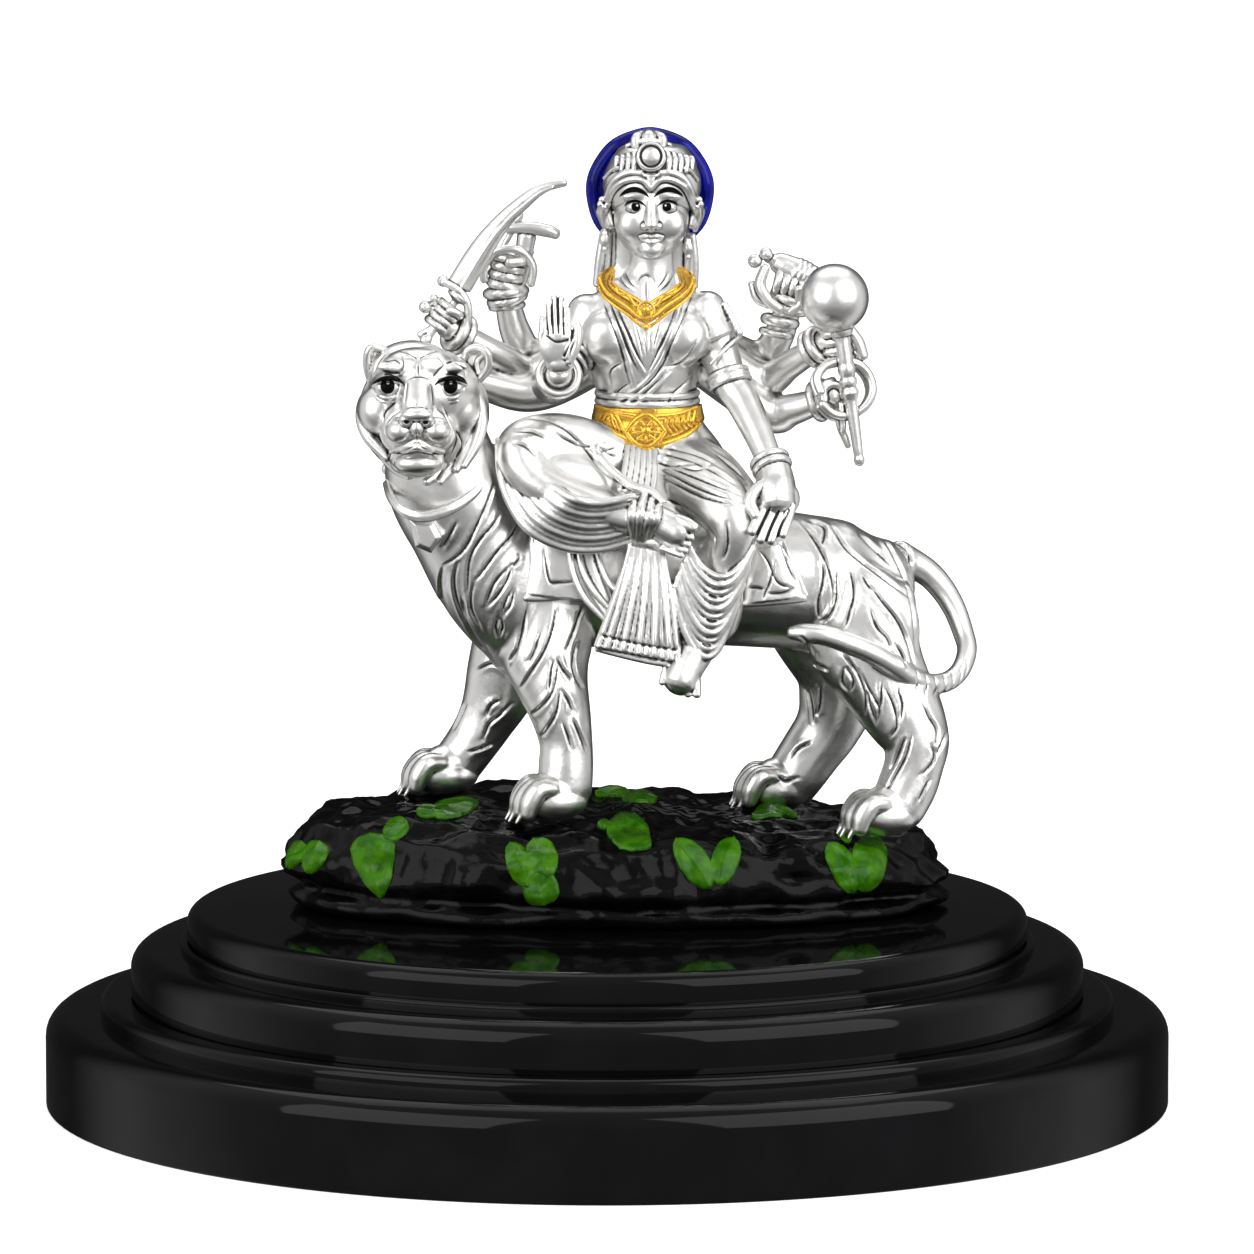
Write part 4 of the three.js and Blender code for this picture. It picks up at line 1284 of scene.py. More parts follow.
def tiger_eye(bm, u, lean):
    """Ball, lids and brow of an eye whose middle lies at a pixel's u."""
    upper = [(u - 14, 386), (u - 6, 379.5), (u + 4, 379), (u + 15, 385)]
    lower = [(u - 12, 390), (u - 5, 397), (u + 5, 397.5), (u + 14, 389)]
    pouch = [(u - 13, 396), (u - 4, 402), (u + 8, 401)]
    egg(bm, spot(u, 387.5, -16.7), (1.75, 1.4, 1.3))
    strand(bm, upper, (-16.6, -18.0, -17.9, -16.8), 0.42, 0.6)
    strand(bm, lower, (-16.9, -17.7, -17.0), 0.27, 0.6)
    strand(bm, pouch, (-16.6, -17.4, -17.2), 0.22, 0.6)
    egg(bm, spot(u + 3, 368, -16.2), (1.8, 0.7, 0.75), tilt=8 * lean)


def tiger_features(bm):
    for u, lean in TIGER_EYES:
        tiger_eye(bm, u, lean)
    eggs(bm, MUZZLE)
    for side in (-1, 1):
        lip = [(417 + side * 1, 441), (417 + side * 12, 447), (417 + side * 26, 452)]
        strand(bm, lip, (-20.5, -19.9, -18.1), 0.42, 0.6)
    strand(bm, MOUTH, (-19.7, -20.5, -19.7), 0.5, 0.6)
    for lock in RUFF:
        strand(bm, lock, (-11.6, -13.6, -15.4), 0.8, 0.5, 16)


def tiger_ears(bm):
    """Round ears, each a rim round a hollow with a tuft in it."""
    for rim in EAR_RIMS:
        strand(bm, rim, (-10.8, -11.6, -10.8), 0.5, 0.9, 14)
    eggs(bm, EAR_BACKS)
    for tuft in EAR_TUFTS:
        strand(bm, tuft, (-10.8, -11), 0.35, 0.6)


def tiger_head_piece():
    under = bmesh.new()
    eggs(under, SKULL)
    roll(under, NOSE_RIDGE, 24, 20)
    bm = bmesh.new()
    blended(bm, under, 0.26, 10)
    tiger_features(bm)
    tiger_ears(bm)
    return melted("tiger_head", bm, None, 0.11, 2)


FACE_CUTS = [
    [(416.5, 430), (416.5, 436), (416.5, 442)],
    [(401, 457), (409, 458), (417, 456), (426, 457), (435, 459)],
    [(388, 452), (400, 453), (410, 449), (416, 444)],
    [(446, 454), (434, 453), (424, 449), (418, 444)],
    [(406, 380), (413, 377.5), (422, 377), (432, 380)],
    [(407, 382), (405, 396), (404, 407)],
    [(431, 382), (433, 396), (434, 407)],
    [(401, 410), (391, 417), (385, 429), (387, 441)],
    [(436, 409), (446, 417), (451, 430), (447, 442)],
    [(442, 404), (450, 420), (457, 438), (448, 461)],
    [(447, 412), (455, 428), (462, 444), (455, 458)],
    [(387, 449), (390, 463), (399, 472)],
    [(445, 452), (443, 464), (435, 472)],
    [(396, 402), (385, 412), (383, 424)],
    [(418, 358), (410, 354), (400, 350)],
    [(418, 358), (427, 354), (438, 350)],
    [(418, 362), (414, 356), (404, 356)],
    [(418, 362), (423, 356), (433, 356)],
    [(418, 364), (418, 370), (418, 376)],
    [(402, 356), (403, 366), (400, 374)],
    [(438, 357), (444, 364), (438, 371), (432, 377)],
    [(385, 362), (394, 360), (402, 366)],
    [(444, 364), (454, 362), (464, 370), (465, 378)],
    [(383, 372), (391, 374), (400, 374)],
    [(444, 374), (454, 375), (463, 378)],
    [(386, 352), (378, 362), (373, 376)],
    [(455, 350), (465, 360), (470, 374)],
]
NOSTRILS = [
    [(403, 421), (406, 423), (410, 422)],
    [(422, 423), (426, 424), (429, 421)],
]
PUPILS = ((387.5, 386), (450.5, 386))
NOSTRIL_DOTS = ((406.5, 422), (425.5, 422.5))


def tiger_paint(sheet, colour, shine):
    """Black lids, pupils and nostrils, only on the front of the face."""
    x, y, z = sheet.axes()
    black = None
    for u, v in PUPILS:
        eye_x, _, eye_z = spot(u, v, -18.1)
        off_x, off_z = x - eye_x, z - eye_z
        pupil = (0.92 - (off_x * off_x + off_z * off_z * 0.8).power(0.5)).step(-0.05, 0.05)
        glint_x, glint_z = off_x - 0.05, off_z - 0.42
        glint = (0.2 - (glint_x * glint_x + glint_z * glint_z).power(0.5)).step(-0.04, 0.04)
        lid = arc_band(off_x, off_z, 0.1, 2.15, 0.72, -0.05, 0.62)
        both = (pupil * (1 - glint)).most(lid)
        black = both if black is None else black.most(both)
    for u, v in NOSTRIL_DOTS:
        hole_x, _, hole_z = spot(u, v, -21.4)
        off_x, off_z = (x - hole_x) * 0.8, z - hole_z
        black = black.most((0.3 - (off_x * off_x + off_z * off_z).power(0.5)).step(-0.05, 0.05))
    black = black * (-15.5 - y).step(0, 0.2)
    return sheet.mix(black, colour, BLACK_PAINT), 1 - black, shine * (1 - black) + 0.3 * black


tiger_head_silver = silver_sheet("silver plate with the tiger's eyes", paint=tiger_paint)
tiger_head = tiger_head_piece()
tiger_head.data.materials.clear()
tiger_head.data.materials.append(tiger_head_silver)
cut(tiger_head, FACE_CUTS, 2.0, -0.17, steep=0.7, within=(-30, -12))
cut(tiger_head, NOSTRILS, 2.4, -0.4, within=(-30, -18))
mark_creases(tiger_head)
finished(thinned(tiger_head, 115000))

# %% Collar and saddle cloth


COLLAR = [
    (387, 484), (391, 497), (400, 509), (415, 516), (432, 515.5), (453, 508), (471, 496),
    (486, 480), (497, 463),
]
COLLAR_DEPTHS = (-9.6, -14.6, -16.0, -15.8, -13.6, -9.5)
COLLAR_BACK = [
    (-12.6, -7.5, 57.6, 0.8),
    (-14.8, -2.9, 59, 0.8),
    (-20.4, -0.5, 59.6, 0.8),
    (-25.6, -2.9, 58.6, 0.8),
    (-27.7, -8.6, 57, 0.8),
]
PENDANT = [(408, 519), (433, 521), (442, 538), (431, 554), (415, 547)]


def collar(bm):
    """A round band with a thin edge above and below it, and a row of beads at the side."""
    strand(bm, COLLAR, COLLAR_DEPTHS, 0.62, 0.9, 16)
    for down in (-4, 4):
        edge = [(u, v + down) for u, v in COLLAR]
        strand(bm, edge, [depth - 0.3 for depth in COLLAR_DEPTHS], 0.24, 0.9)
    roll(bm, COLLAR_BACK, 14, 30)
    for i in range(7):
        egg(bm, spot(474 + 3.5 * i, 491 - 4.1 * i, -13.6 + 0.62 * i), (0.26,) * 3, detail=2)


def pendant(bm):
    """A flat stone with cut edges, hung from the collar."""
    own = bmesh.new()
    ring = bmesh.ops.create_circle(own, cap_ends=True, segments=5, radius=2.6)
    for vert, (u, v) in zip(ring["verts"], PENDANT):
        vert.co = Vector(spot(u, v, -14.9))
    made = bmesh.ops.extrude_face_region(own, geom=own.faces[:])["geom"]
    for vert in (g for g in made if isinstance(g, bmesh.types.BMVert)):
        vert.co.y += 2.2
    bmesh.ops.recalc_face_normals(own, faces=own.faces)
    rim = [e for e in own.edges if all(v.co.y < -14.5 for v in e.verts)]
    bmesh.ops.bevel(own, geom=rim, offset=0.62, segments=1, profile=0.5, affect="EDGES", material=-1)
    poured(own, bm)


SADDLE_ENDS = [
    ((-9.6, 0, 0), (-1, 0, 0.12)),
    ((23.4, 0, 46), (1, 0, 0.42)),
    ((0, 0, 40.2), (0.03, 0, -1)),
]


def saddle(bm):
    """The cloth over the back: the body's own roll, a little larger, cut off square."""
    own = bmesh.new()
    roll(own, [(x, y, z, r + 0.9, d + 0.9) for x, y, z, r, d in TIGER_ROLLS["torso"][1:-1]], 48, 60)
    for place, way in SADDLE_ENDS:
        everything = own.verts[:] + own.edges[:] + own.faces[:]
        bmesh.ops.bisect_plane(own, geom=everything, plane_co=place, plane_no=way, clear_outer=True)
        bmesh.ops.holes_fill(own, edges=[e for e in own.edges if e.is_boundary])
    poured(own, bm)


SADDLE_HEMS = [
    [(526, 598), (545, 598), (566, 596), (590, 597)],
    [(742, 604), (764, 602.5), (785, 600.5), (804, 598)],
]
SADDLE_PANELS = [
    [(563, 536, -10.8, 3.6, 0.8), (561, 568, -11.5, 3.9, 0.8), (558, 597, -11.7, 4.1, 0.8)],
    [(764, 548, -10.6, 2.2, 0.8), (770, 575, -11.4, 3.3, 0.8), (773, 600, -11.7, 3.9, 0.8)],
]
SADDLE_CUTS = [
    [(544, 548), (546, 568), (550, 582), (560, 583), (582, 582)],
    [(757, 548), (768, 562), (777, 582), (795, 590)],
    [(775, 560), (770, 580), (762, 600)],
    [(748, 588), (757, 588), (764, 590)],
    [(781, 542), (788, 565), (797, 585)],
    [(766, 594), (782, 593), (795, 588)],
]


def tack_piece():
    bm = bmesh.new()
    collar(bm)
    pendant(bm)
    saddle(bm)
    for panel in SADDLE_PANELS:
        roll(bm, marks(*panel), 36, 24, dome=0.12)
    for hem in SADDLE_HEMS:
        strand(bm, hem, (-11.6, -11.6), 0.55, 0.9)
    return melted("collar_and_saddle", bm, silver, 0.13, 1)


tack = tack_piece()
cut(tack, SADDLE_CUTS, 3, -0.25, steep=0.6, within=(-30, -6))
mark_creases(tack)
finished(thinned(tack, 50000))

# %% [markdown]
# ## The goddess
# She sits with her right leg folded over the saddle and her left leg hanging. Body, legs and arms
# are rolls again. The cloth is part of the same wax: thick folds are thin rolls laid on the legs,
# and the finer ones are cut in afterwards, so that they melt into what they hang from.

# %% Her rolls
BODY_X = 5.6
TORSO = [
    (5.2, -1.2, 80.4, 3.4, 3.0),
    (4.9, -1.4, 78.6, 6.0, 3.7),
    (4.8, -1.6, 76.2, 7.9, 4.6),
    (4.7, -2.0, 72.4, 7.4, 5.3),
    (4.8, -2.0, 69.0, 6.8, 5.0),
    (5.1, -1.8, 65.2, 6.3, 4.7),
    (5.3, -1.9, 61.4, 7.2, 5.4),
    (5.8, -2.2, 57.4, 9.4, 6.8),
    (6.0, -2.4, 53.6, 11.4, 8.0),
    (6.0, -2.4, 51, 12, 8.6),
]
NECK = [(BODY_X, -1.6, 86, 2.9), (BODY_X, -1.2, 82, 2.9), (5.3, -1, 78, 4.2)]
RIGHT_LEG = [
    (3.6, -4.4, 55, 5, 4),
    (-5, -8, 59.2, 4.8, 3.8),
    (-10.4, -10.4, 59.2, 4.2, 3.5),
    (-8.4, -12.4, 55.6, 3.6, 3),
    (-1, -14.2, 52.6, 2.8, 2.4),
    (3.6, -15.4, 51.4, 2.2, 2.1),
]
LEFT_LEG = marks(
    (674, 470, -4.4, 5, 4.2),
    (702, 486, -9.6, 4.1, 3.8),
    (722, 506, -13.4, 3.8, 3.5),
    (731, 528, -14.8, 3.2, 3.0),
    (724, 562, -14.2, 2.9, 2.4),
    (713, 602, -13.6, 2.8, 2.2),
    (704, 642, -13.4, 2.0, 1.9),
)
ARMS = {
    "resting": marks(
        (703, 309, -1.4, 2.6),
        (717, 345, -2.6, 2.5),
        (729, 380, -4.4, 2.35),
        (743, 402, -6.0, 2.2),
        (753, 422, -8.0, 2.05),
        (761, 440, -9.8, 1.85),
        (769, 460, -11.6, 1.7),
    ),
    "blessing": marks(
        (590, 312, -1.6, 2.6),
        (579, 345, -2.6, 2.5),
        (553, 380, -6.0, 2.7),
        (556, 382, -11.4, 2.4),
        (559, 374, -16.4, 1.7),
    ),
    "sword": [
        (-1.2, 2.4, 73.2, 2.6),
        (-9.2, 4.2, 68, 2.3),
        (-13, 2.2, 70, 1.9),
        (-18.8, -1.4, 73.6, 1.5),
    ],
    "goad": [
        (0.4, 1.4, 74.6, 2.4),
        (-8.9, 7.2, 69.6, 2.3),
        (-11.6, 6.6, 72.8, 2.05),
        (-12.9, 5.8, 78, 1.6),
    ],
    "hidden": [(1.4, 0.6, 71, 2.6), (-9.2, 2.4, 65.6, 2.4), (-18, 0, 67.6, 1.8)],
    "conch": [
        (9.4, 1.4, 74.6, 2.4),
        (18.9, 7.2, 69.6, 2.3),
        (21.8, 6.6, 72.4, 2.05),
        (23.3, 5.8, 77, 1.65),
    ],
    "mace": [
        (10.8, 2.4, 73, 2.6),
        (19.5, 4.2, 67.4, 2.3),
        (23.1, 2.2, 69.2, 1.9),
        (26.6, -0.4, 71.7, 1.5),
    ],
    "noose": [
        (9.4, 0.6, 71.2, 2.6),
        (20.2, 2.6, 63.2, 2.4),
        (23.3, 2, 63.5, 2.1),
        (27.3, 0.4, 64.9, 1.6),
    ],
}

# %% [markdown]
# ### Folds
# Folds that nest in one another need only the first and the last line: those between them are
# shared out evenly. So the knee, the shin and the pleated apron are two lines each and a count.

# %% Lines of the folds
KNEE_FOLDS = (
    [(498, 440), (500, 470), (510, 502), (530, 530), (565, 547), (600, 549), (632, 541)],
    [(530, 452), (538, 470), (552, 486), (572, 498), (594, 503), (614, 501), (634, 496)],
)
SHIN_FOLDS = (
    [(673, 590), (681, 622), (694, 648), (706, 657), (717, 650), (727, 630), (738, 603)],
    [(690, 546), (698, 561), (709, 572), (722, 577), (735, 571), (746, 558), (755, 541)],
)
APRON_FOLDS = (
    [(631, 545), (618, 590), (598, 647)],
    [(663, 552), (671, 600), (678, 661)],
)
UPPER_FOLDS = (
    [(628, 446), (625, 470), (620, 490)],
    [(654, 448), (655, 470), (652, 496)],
)
TIE = [
    [(637, 498), (631, 515), (633, 537)],
    [(645, 494), (640, 515), (638, 540)],
    [(652, 497), (649, 517), (643, 540)],
    [(659, 502), (656, 518), (649, 537)],
]
SASH = [
    [(570, 551), (574, 575), (585, 598), (604, 619)],
    [(578, 549), (583, 571), (594, 591), (611, 610)],
    [(597, 549), (602, 568), (610, 584), (619, 592)],
]


def nested(lines, count):
    """Lines that are shared out evenly from the first to the last of two."""
    first, last = np.array(lines, float)
    return [first + (last - first) * share for share in np.linspace(0, 1, count)]


def pleat(bm, pixels, y_top, y_low, wide_top, wide_low):
    """A pleat that widens to its hem, which ends flat."""
    (a, b), (c, d), (e, f) = pixels
    top, middle, low = spot(a, b, y_top), spot(c, d, (y_top + y_low) / 2), spot(e, f, y_low)
    stations = [
        (*top, wide_top),
        (*middle, (wide_top + wide_low) / 2, 0.9),
        (*low, wide_low, 1.1),
    ]
    return roll(bm, stations, 14, 26, dome=0.12)


def toes(bm, roots, tips, y, radius):
    """A row of toes or fingers between a line of roots and a line of tips."""
    for (a, b), (c, d), size in zip(roots, tips, radius):
        strand(bm, [(a, b), ((a + c) / 2, (b + d) / 2), (c, d)], y, size, 0.75, 14)


HIP = marks(
    (690, 452, -4.5, 2.6, 2.4),
    (718, 470, -6.5, 2.6, 2.4),
    (742, 491, -9.0, 1.9, 2),
)
BODY_EGGS = [
    (spot(609, 338, -5.0), (3.5, 2.7, 3.5), 0),
    (spot(682, 338, -5.0), (3.5, 2.7, 3.5), 0),
    ((-5.4, -10.8, 55.2), (8.2, 3.4, 4.6), 18),
    (spot(716, 590, -13.4), (3.4, 2.2, 6.6), -8),
]
SHOULDER_CAP = marks(
    (697, 312, -1.6, 2.6),
    (708, 327, -2.4, 2.7),
    (717, 342, -3.2, 2.6),
)
SLEEVE_BEADS = ((725, 304, -3.0), (740, 333, -4.2))
SLEEVE_EDGE = [(741, 336), (731, 344), (720, 354), (711, 364)]
CUFFS = (
    ("resting", (0.86, 1.0, 1.12), 2.62),
    ("blessing", (-0.1, 0.08, 0.26, 0.44, 0.62), 2.75),
)


def body_under_cloth(under):
    roll(under, TORSO, 40, 70)
    roll(under, NECK, 28, 20)
    eggs(under, BODY_EGGS)
    roll(under, RIGHT_LEG, 32, 60)
    roll(under, LEFT_LEG, 32, 50)
    roll(under, HIP, 24, 30)
    for arm in ARMS.values():
        roll(under, arm, 24, 36)
    for arm in ("resting", "blessing"):
        roll(under, [(x, y, z, r + 0.3) for x, y, z, r in ARMS[arm][:2]], 28, 24)


def sleeves(bm):
    """The short sleeves: a cap over the shoulder with a beaded edge, and cuffs round the arms."""
    roll(bm, SHOULDER_CAP, 28, 24, dome=0.2)
    for bead in np.linspace(*SLEEVE_BEADS, 8):
        egg(bm, spot(*bead), (0.42,) * 3, detail=3)
    strand(bm, SLEEVE_EDGE, (-3.4, -6.0, -6.4), 0.3, 0.8)
    for arm, shares, radius in CUFFS:
        start, end = (Vector(ARMS[arm][k][:3]) for k in (1, 2))
        for share in shares:
            bangle(bm, start.lerp(end, share), end - start, radius, 0.3)


BAND_UNDER_BLOUSE = (5.1, -1.9, 65.6)
APRON_BACK = marks((642, 545, -14.6, 1.6, 0.8), (638, 650, -15.4, 4.6, 1.0))
APRON_HEM = [(597, 649), (625, 656), (652, 662), (679, 666)]
SIDE_FALL = marks(
    (584, 549, -11.6, 1.7, 0.8),
    (592, 578, -12.4, 1.6, 0.8),
    (609, 614, -13.4, 1.2, 0.7),
)
LAP_FOLD = [(592, 447), (612, 470), (632, 486), (652, 492), (664, 502)]


def cloth(bm):
    for share in (-0.5, 0.5):
        bangle(bm, np.add(BAND_UNDER_BLOUSE, (0, 0, share)), (0, 0, 1), 6.35, 0.42, 96)
    for i, line in enumerate(nested(KNEE_FOLDS, 9)):
        strand(bm, line, (-11.4, -14.9 - 0.3 * i, -15.4 - 0.2 * i), 0.66 - 0.12 * (i % 2), 0.6)
    for i, line in enumerate(nested(SHIN_FOLDS, 11)):
        strand(bm, line, (-16.1, -16.6 - 0.08 * i, -15.7), 0.38 + 0.16 * (i % 3 == 0), 0.75)
    for i, line in enumerate(nested(APRON_FOLDS, 11)):
        pleat(bm, line, -15.6, -16.3 - 0.4 * (i % 2), 0.36, 0.62)
    roll(bm, APRON_BACK, 30, 16, 0.1)
    strand(bm, APRON_HEM, (-16.2, -16.6), 0.42, 0.9)
    for line in TIE:
        strand(bm, line, (-15.8, -18.4, -16.4), 0.58, 0.6)
    for line in nested(UPPER_FOLDS, 6):
        strand(bm, line, (-8.0, -11.4, -14.4), 0.42, 0.8)
    roll(bm, SIDE_FALL, 24, 30)
    for line in SASH:
        strand(bm, line, (-12.4, -13.6, -14.6), 0.42, 0.8)
    strand(bm, LAP_FOLD, (-12, -15, -16.8), 0.62)


FOLDED_FOOT = [(648, 516), (664, 524), (680, 533)]
FOLDED_SOLE = [(658, 531), (670, 541), (678, 547)]
FOLDED_TOE_ROOTS = [(677, 519), (673, 530), (669, 537), (665, 543), (661, 548)]
FOLDED_TOE_TIPS = [(694, 528), (692, 538), (689, 545), (686, 551), (682, 556)]
HANGING_FOOT = [(696, 652), (686, 667), (680, 681)]
HANGING_TOE_ROOTS = [(666, 668), (673, 670), (681, 673), (688, 675), (696, 674)]
HANGING_TOE_TIPS = [(662, 683), (671, 687), (679, 691), (688, 695), (697, 695)]


def feet(bm):
    strand(bm, FOLDED_FOOT, (-15.8, -17), 2.0, 0.95, 20)
    strand(bm, FOLDED_SOLE, (-16.2, -17.2), 1.25, 0.9, 16)
    sizes = (0.85, 0.52, 0.5, 0.46, 0.42)
    toes(bm, FOLDED_TOE_ROOTS, FOLDED_TOE_TIPS, (-17.4, -18.2), sizes)
    strand(bm, HANGING_FOOT, (-14.8, -16.4), 2.3, 0.95, 20)
    sizes = (0.5, 0.48, 0.48, 0.52, 0.62)
    toes(bm, HANGING_TOE_ROOTS, HANGING_TOE_TIPS, (-16.4, -17.2), sizes)


def goddess_piece():
    under, bm = bmesh.new(), bmesh.new()
    body_under_cloth(under)
    blended(bm, under, 0.3, 10)
    sleeves(bm)
    cloth(bm)
    feet(bm)
    return melted("goddess_body", bm, silver, 0.14, 2)


FOLD_CUTS = [
    [(658, 447), (700, 456), (738, 478)],
    [(658, 453), (698, 464), (742, 488)],
    [(658, 459), (694, 470), (716, 461)],
    [(659, 464), (700, 480), (746, 497)],
    [(660, 470), (700, 490), (748, 504)],
    [(662, 478), (700, 497), (740, 506)],
    [(655, 462), (672, 466), (702, 462)],
    [(664, 498), (690, 512), (714, 536), (714, 556)],
    [(686, 514), (704, 524), (716, 542)],
    [(726, 520), (727, 545), (722, 560)],
    [(612, 440), (590, 447), (570, 441), (548, 427)],
    [(618, 446), (600, 452), (582, 448)],
    [(618, 458), (604, 450), (598, 440)],
    [(500, 424), (530, 418), (560, 426), (584, 448), (604, 472), (632, 488)],
    [(506, 432), (530, 432), (548, 440)],
    [(512, 444), (524, 446), (536, 456)],
    [(700, 448), (730, 466), (756, 490)],
    [(706, 444), (738, 466), (760, 494)],
]
BLOUSE_EDGES = [
    [(604, 293), (614, 318), (624, 345), (630, 370), (637, 392)],
    [(612, 302), (624, 330), (633, 352), (646, 377)],
    [(690, 290), (680, 315), (667, 343), (659, 363), (643, 384), (612, 404)],
    [(681, 303), (670, 333), (660, 355), (648, 377)],
    [(664, 368), (650, 384), (622, 406)],
    [(672, 372), (655, 388), (633, 407)],
]
BLOUSE_CUTS = [
    [(600, 295), (610, 320), (620, 347), (626, 372), (632, 390)],
    [(608, 298), (619, 325), (629, 352), (640, 376)],
    [(616, 306), (628, 332), (637, 354), (647, 372)],
    [(694, 291), (684, 316), (671, 345), (663, 365), (647, 386), (616, 406)],
    [(686, 297), (675, 325), (663, 352), (652, 372)],
    [(677, 305), (665, 335), (655, 357), (648, 372)],
    [(634, 318), (641, 345), (645, 370)],
    [(642, 330), (646, 350), (647, 368)],
    [(651, 330), (650, 350), (648, 366)],
    [(660, 320), (654, 345), (650, 364)],
    [(628, 360), (616, 366), (610, 372), (610, 384)],
    [(664, 367), (680, 363), (692, 350), (699, 336)],
    [(668, 404), (673, 394), (684, 384), (694, 374)],
    [(612, 398), (622, 388), (632, 382)],
    [(636, 287), (640, 278), (646, 275), (652, 278), (656, 287)],
    [(646, 277), (646, 290), (646, 302)],
    [(618, 272), (624, 284), (636, 292)],
    [(624, 270), (630, 282), (638, 288)],
    [(676, 272), (668, 284), (656, 293)],
    [(670, 270), (663, 282), (655, 289)],
]
HEM_CUTS = [
    [(600, 635), (625, 641), (650, 646), (677, 650)],
]

goddess = goddess_piece()
cut(goddess, FOLD_CUTS, 4, -0.24, steep=0.5)
cut(goddess, BLOUSE_EDGES, 3.0, 0.2)
cut(goddess, BLOUSE_CUTS, 1.9, -0.14)
cut(goddess, HEM_CUTS, 1.8, -0.16, blunt=True)
mark_creases(goddess, 4)
finished(thinned(goddess, 165000))

# %% [markdown]
# ### Her head
# The face is a plain, calm one on the proportions of the drawing book. The eyes are halfway down
# the head and one eye's width apart. The nose ends halfway from the brow to the chin, and the
# mouth a third of the way below it. Brows, lids and irises are black enamel on the silver.

# %% Head and face
FACE = Vector((BODY_X, -3, 90))
EYE_APART = 1.95


def on_head(x, y, z):
    return (FACE.x + x, FACE.y + y, FACE.z + z)


def along_head(bm, points, sides=14):
    """A roll through points given about the head's middle, each with its radius."""
    return roll(bm, [(*on_head(x, y, z), *r) for x, y, z, *r in points], sides, 8 * len(points))


def face_shape(bm):
    egg(bm, on_head(0, 0.4, 1.4), (5.15, 5.5, 5.5))
    egg(bm, on_head(0, -0.6, -1.4), (4.75, 4.8, 5.5))
    egg(bm, on_head(0, -3.8, -5.3), (1.6, 1.3, 1.25))
    along_head(bm, [(0, -4.6, 1.5, 0.6), (0, -5.4, -0.5, 0.7), (0, -5.9, -1.8, 0.9)], 20)
    for side in (-1, 1):
        egg(bm, on_head(side * 2.3, -3.6, -2.2), (2.0, 1.5, 2.2))
        egg(bm, on_head(side * 1.9, -4.3, 1.5), (2.0, 0.8, 0.6), tilt=side * 6)


def features(bm):
    egg(bm, on_head(0, -6.0, -2.1), (0.8, 0.78, 0.66))
    for side in (-1, 1):
        egg(bm, on_head(side * 0.82, -5.5, -2.3), (0.55, 0.6, 0.46))
        egg(bm, on_head(side * EYE_APART, -4.25, 0), (1.25, 0.95, 0.8))
        along_head(
            bm,
            [
                (side * 5.3, 0.2, 1.2, 0.7, 0.9),
                (side * 5.75, 0.5, -0.6, 0.85, 1.1),
                (side * 5.2, 0, -2.6, 0.6),
            ],
        )
    upper = [(-1.45, -4.8, -3.75, 0.2), (-0.6, -5.35, -3.55, 0.34), (0, -5.42, -3.65, 0.3)]
    along_head(bm, upper + [(-x, y, z, r) for x, y, z, r in upper[1::-1]])
    along_head(bm, [(-1.3, -4.8, -4.0, 0.2), (0, -5.4, -4.3, 0.42), (1.3, -4.8, -4.0, 0.2)])


CAP = np.array(on_head(0.1, 0.4, 2.6))
CAP_HALF = np.array((6.25, 5.55, 5.2))
TIER = np.array(on_head(0.2, 0.4, 4.9))
TIER_HALF = np.array((5.55, 5.5, 3.2))
BAND_RIM = [
    [(605, 216), (609, 200), (616, 187), (628, 180), (642, 180), (651, 189)],
    [(697, 216), (691, 200), (684, 187), (672, 180), (660, 180), (651, 189)],
]
GROOVES = [
    [(u, 150 + abs(u - 652) * 0.2), (u + 1, 160), (u, 171)]
    for u in (616, 622, 628, 634, 668, 674, 680, 686, 691)
]


BAND_TOP = [(604, 178), (618, 168), (651, 176), (684, 168), (698, 180)]
KNOB = spot(649, 143, -3.4)
LOBES = [
    marks((u, 146, -5.4, size), (u, 138, -5.2, size), (top, 133.5, -4.2, size * 0.7))
    for u, top, size in ((636, 641.2, 0.62), (649, 649, 0.95), (662, 656.8, 0.62))
]
KNOB_FOOT = [(627, 146), (638, 142), (649, 141), (660, 142), (670, 145)]
JEWEL_FOOT, JEWEL_HEAD = spot(651, 157, -7.0), spot(651, 156, -9.3)
JEWEL = [
    (0, 1.9), (0.75, 1.9), (0.95, 1.75), (0.95, 1.52), (0.82, 1.4), (0.82, 1.22), (0.98, 1.1),
    (1.08, 0.6), (1.1, 0.05),
]
PARTING_U = 651


def crown(bm):
    """A smooth cap with a rolled rim, a ribbed second tier and a knob of three lobes."""
    for line in BAND_RIM:
        draped(bm, line, CAP, CAP_HALF, 0.42, 0.1, 0.8)
        draped(bm, [(u, v - 7) for u, v in line[:-1]], CAP, CAP_HALF, 0.6, 0.05, 0.6)
    draped(bm, BAND_TOP, CAP, CAP_HALF, 0.28, 0.1, 0.8)
    for line in GROOVES:
        draped(bm, line, TIER, TIER_HALF, 0.42, 0.0, 0.7)
    egg(bm, KNOB, (2.45, 2.3, 1.7))
    for lobe in LOBES:
        roll(bm, lobe, 20, 16)
    strand(bm, KNOB_FOOT, (-4.8, -6.2, -4.8), 0.36, 0.9)
    spun(bm, JEWEL_FOOT, JEWEL_HEAD, JEWEL, 40)
    for i in range(7):
        v, width = 171 + 2.8 * i, 4.8 - 0.4 * i
        plait = [(PARTING_U - width, v - 2), (PARTING_U, v + 1.5), (PARTING_U + width, v - 2)]
        draped(bm, plait, CAP, CAP_HALF, 0.2, 0.12)


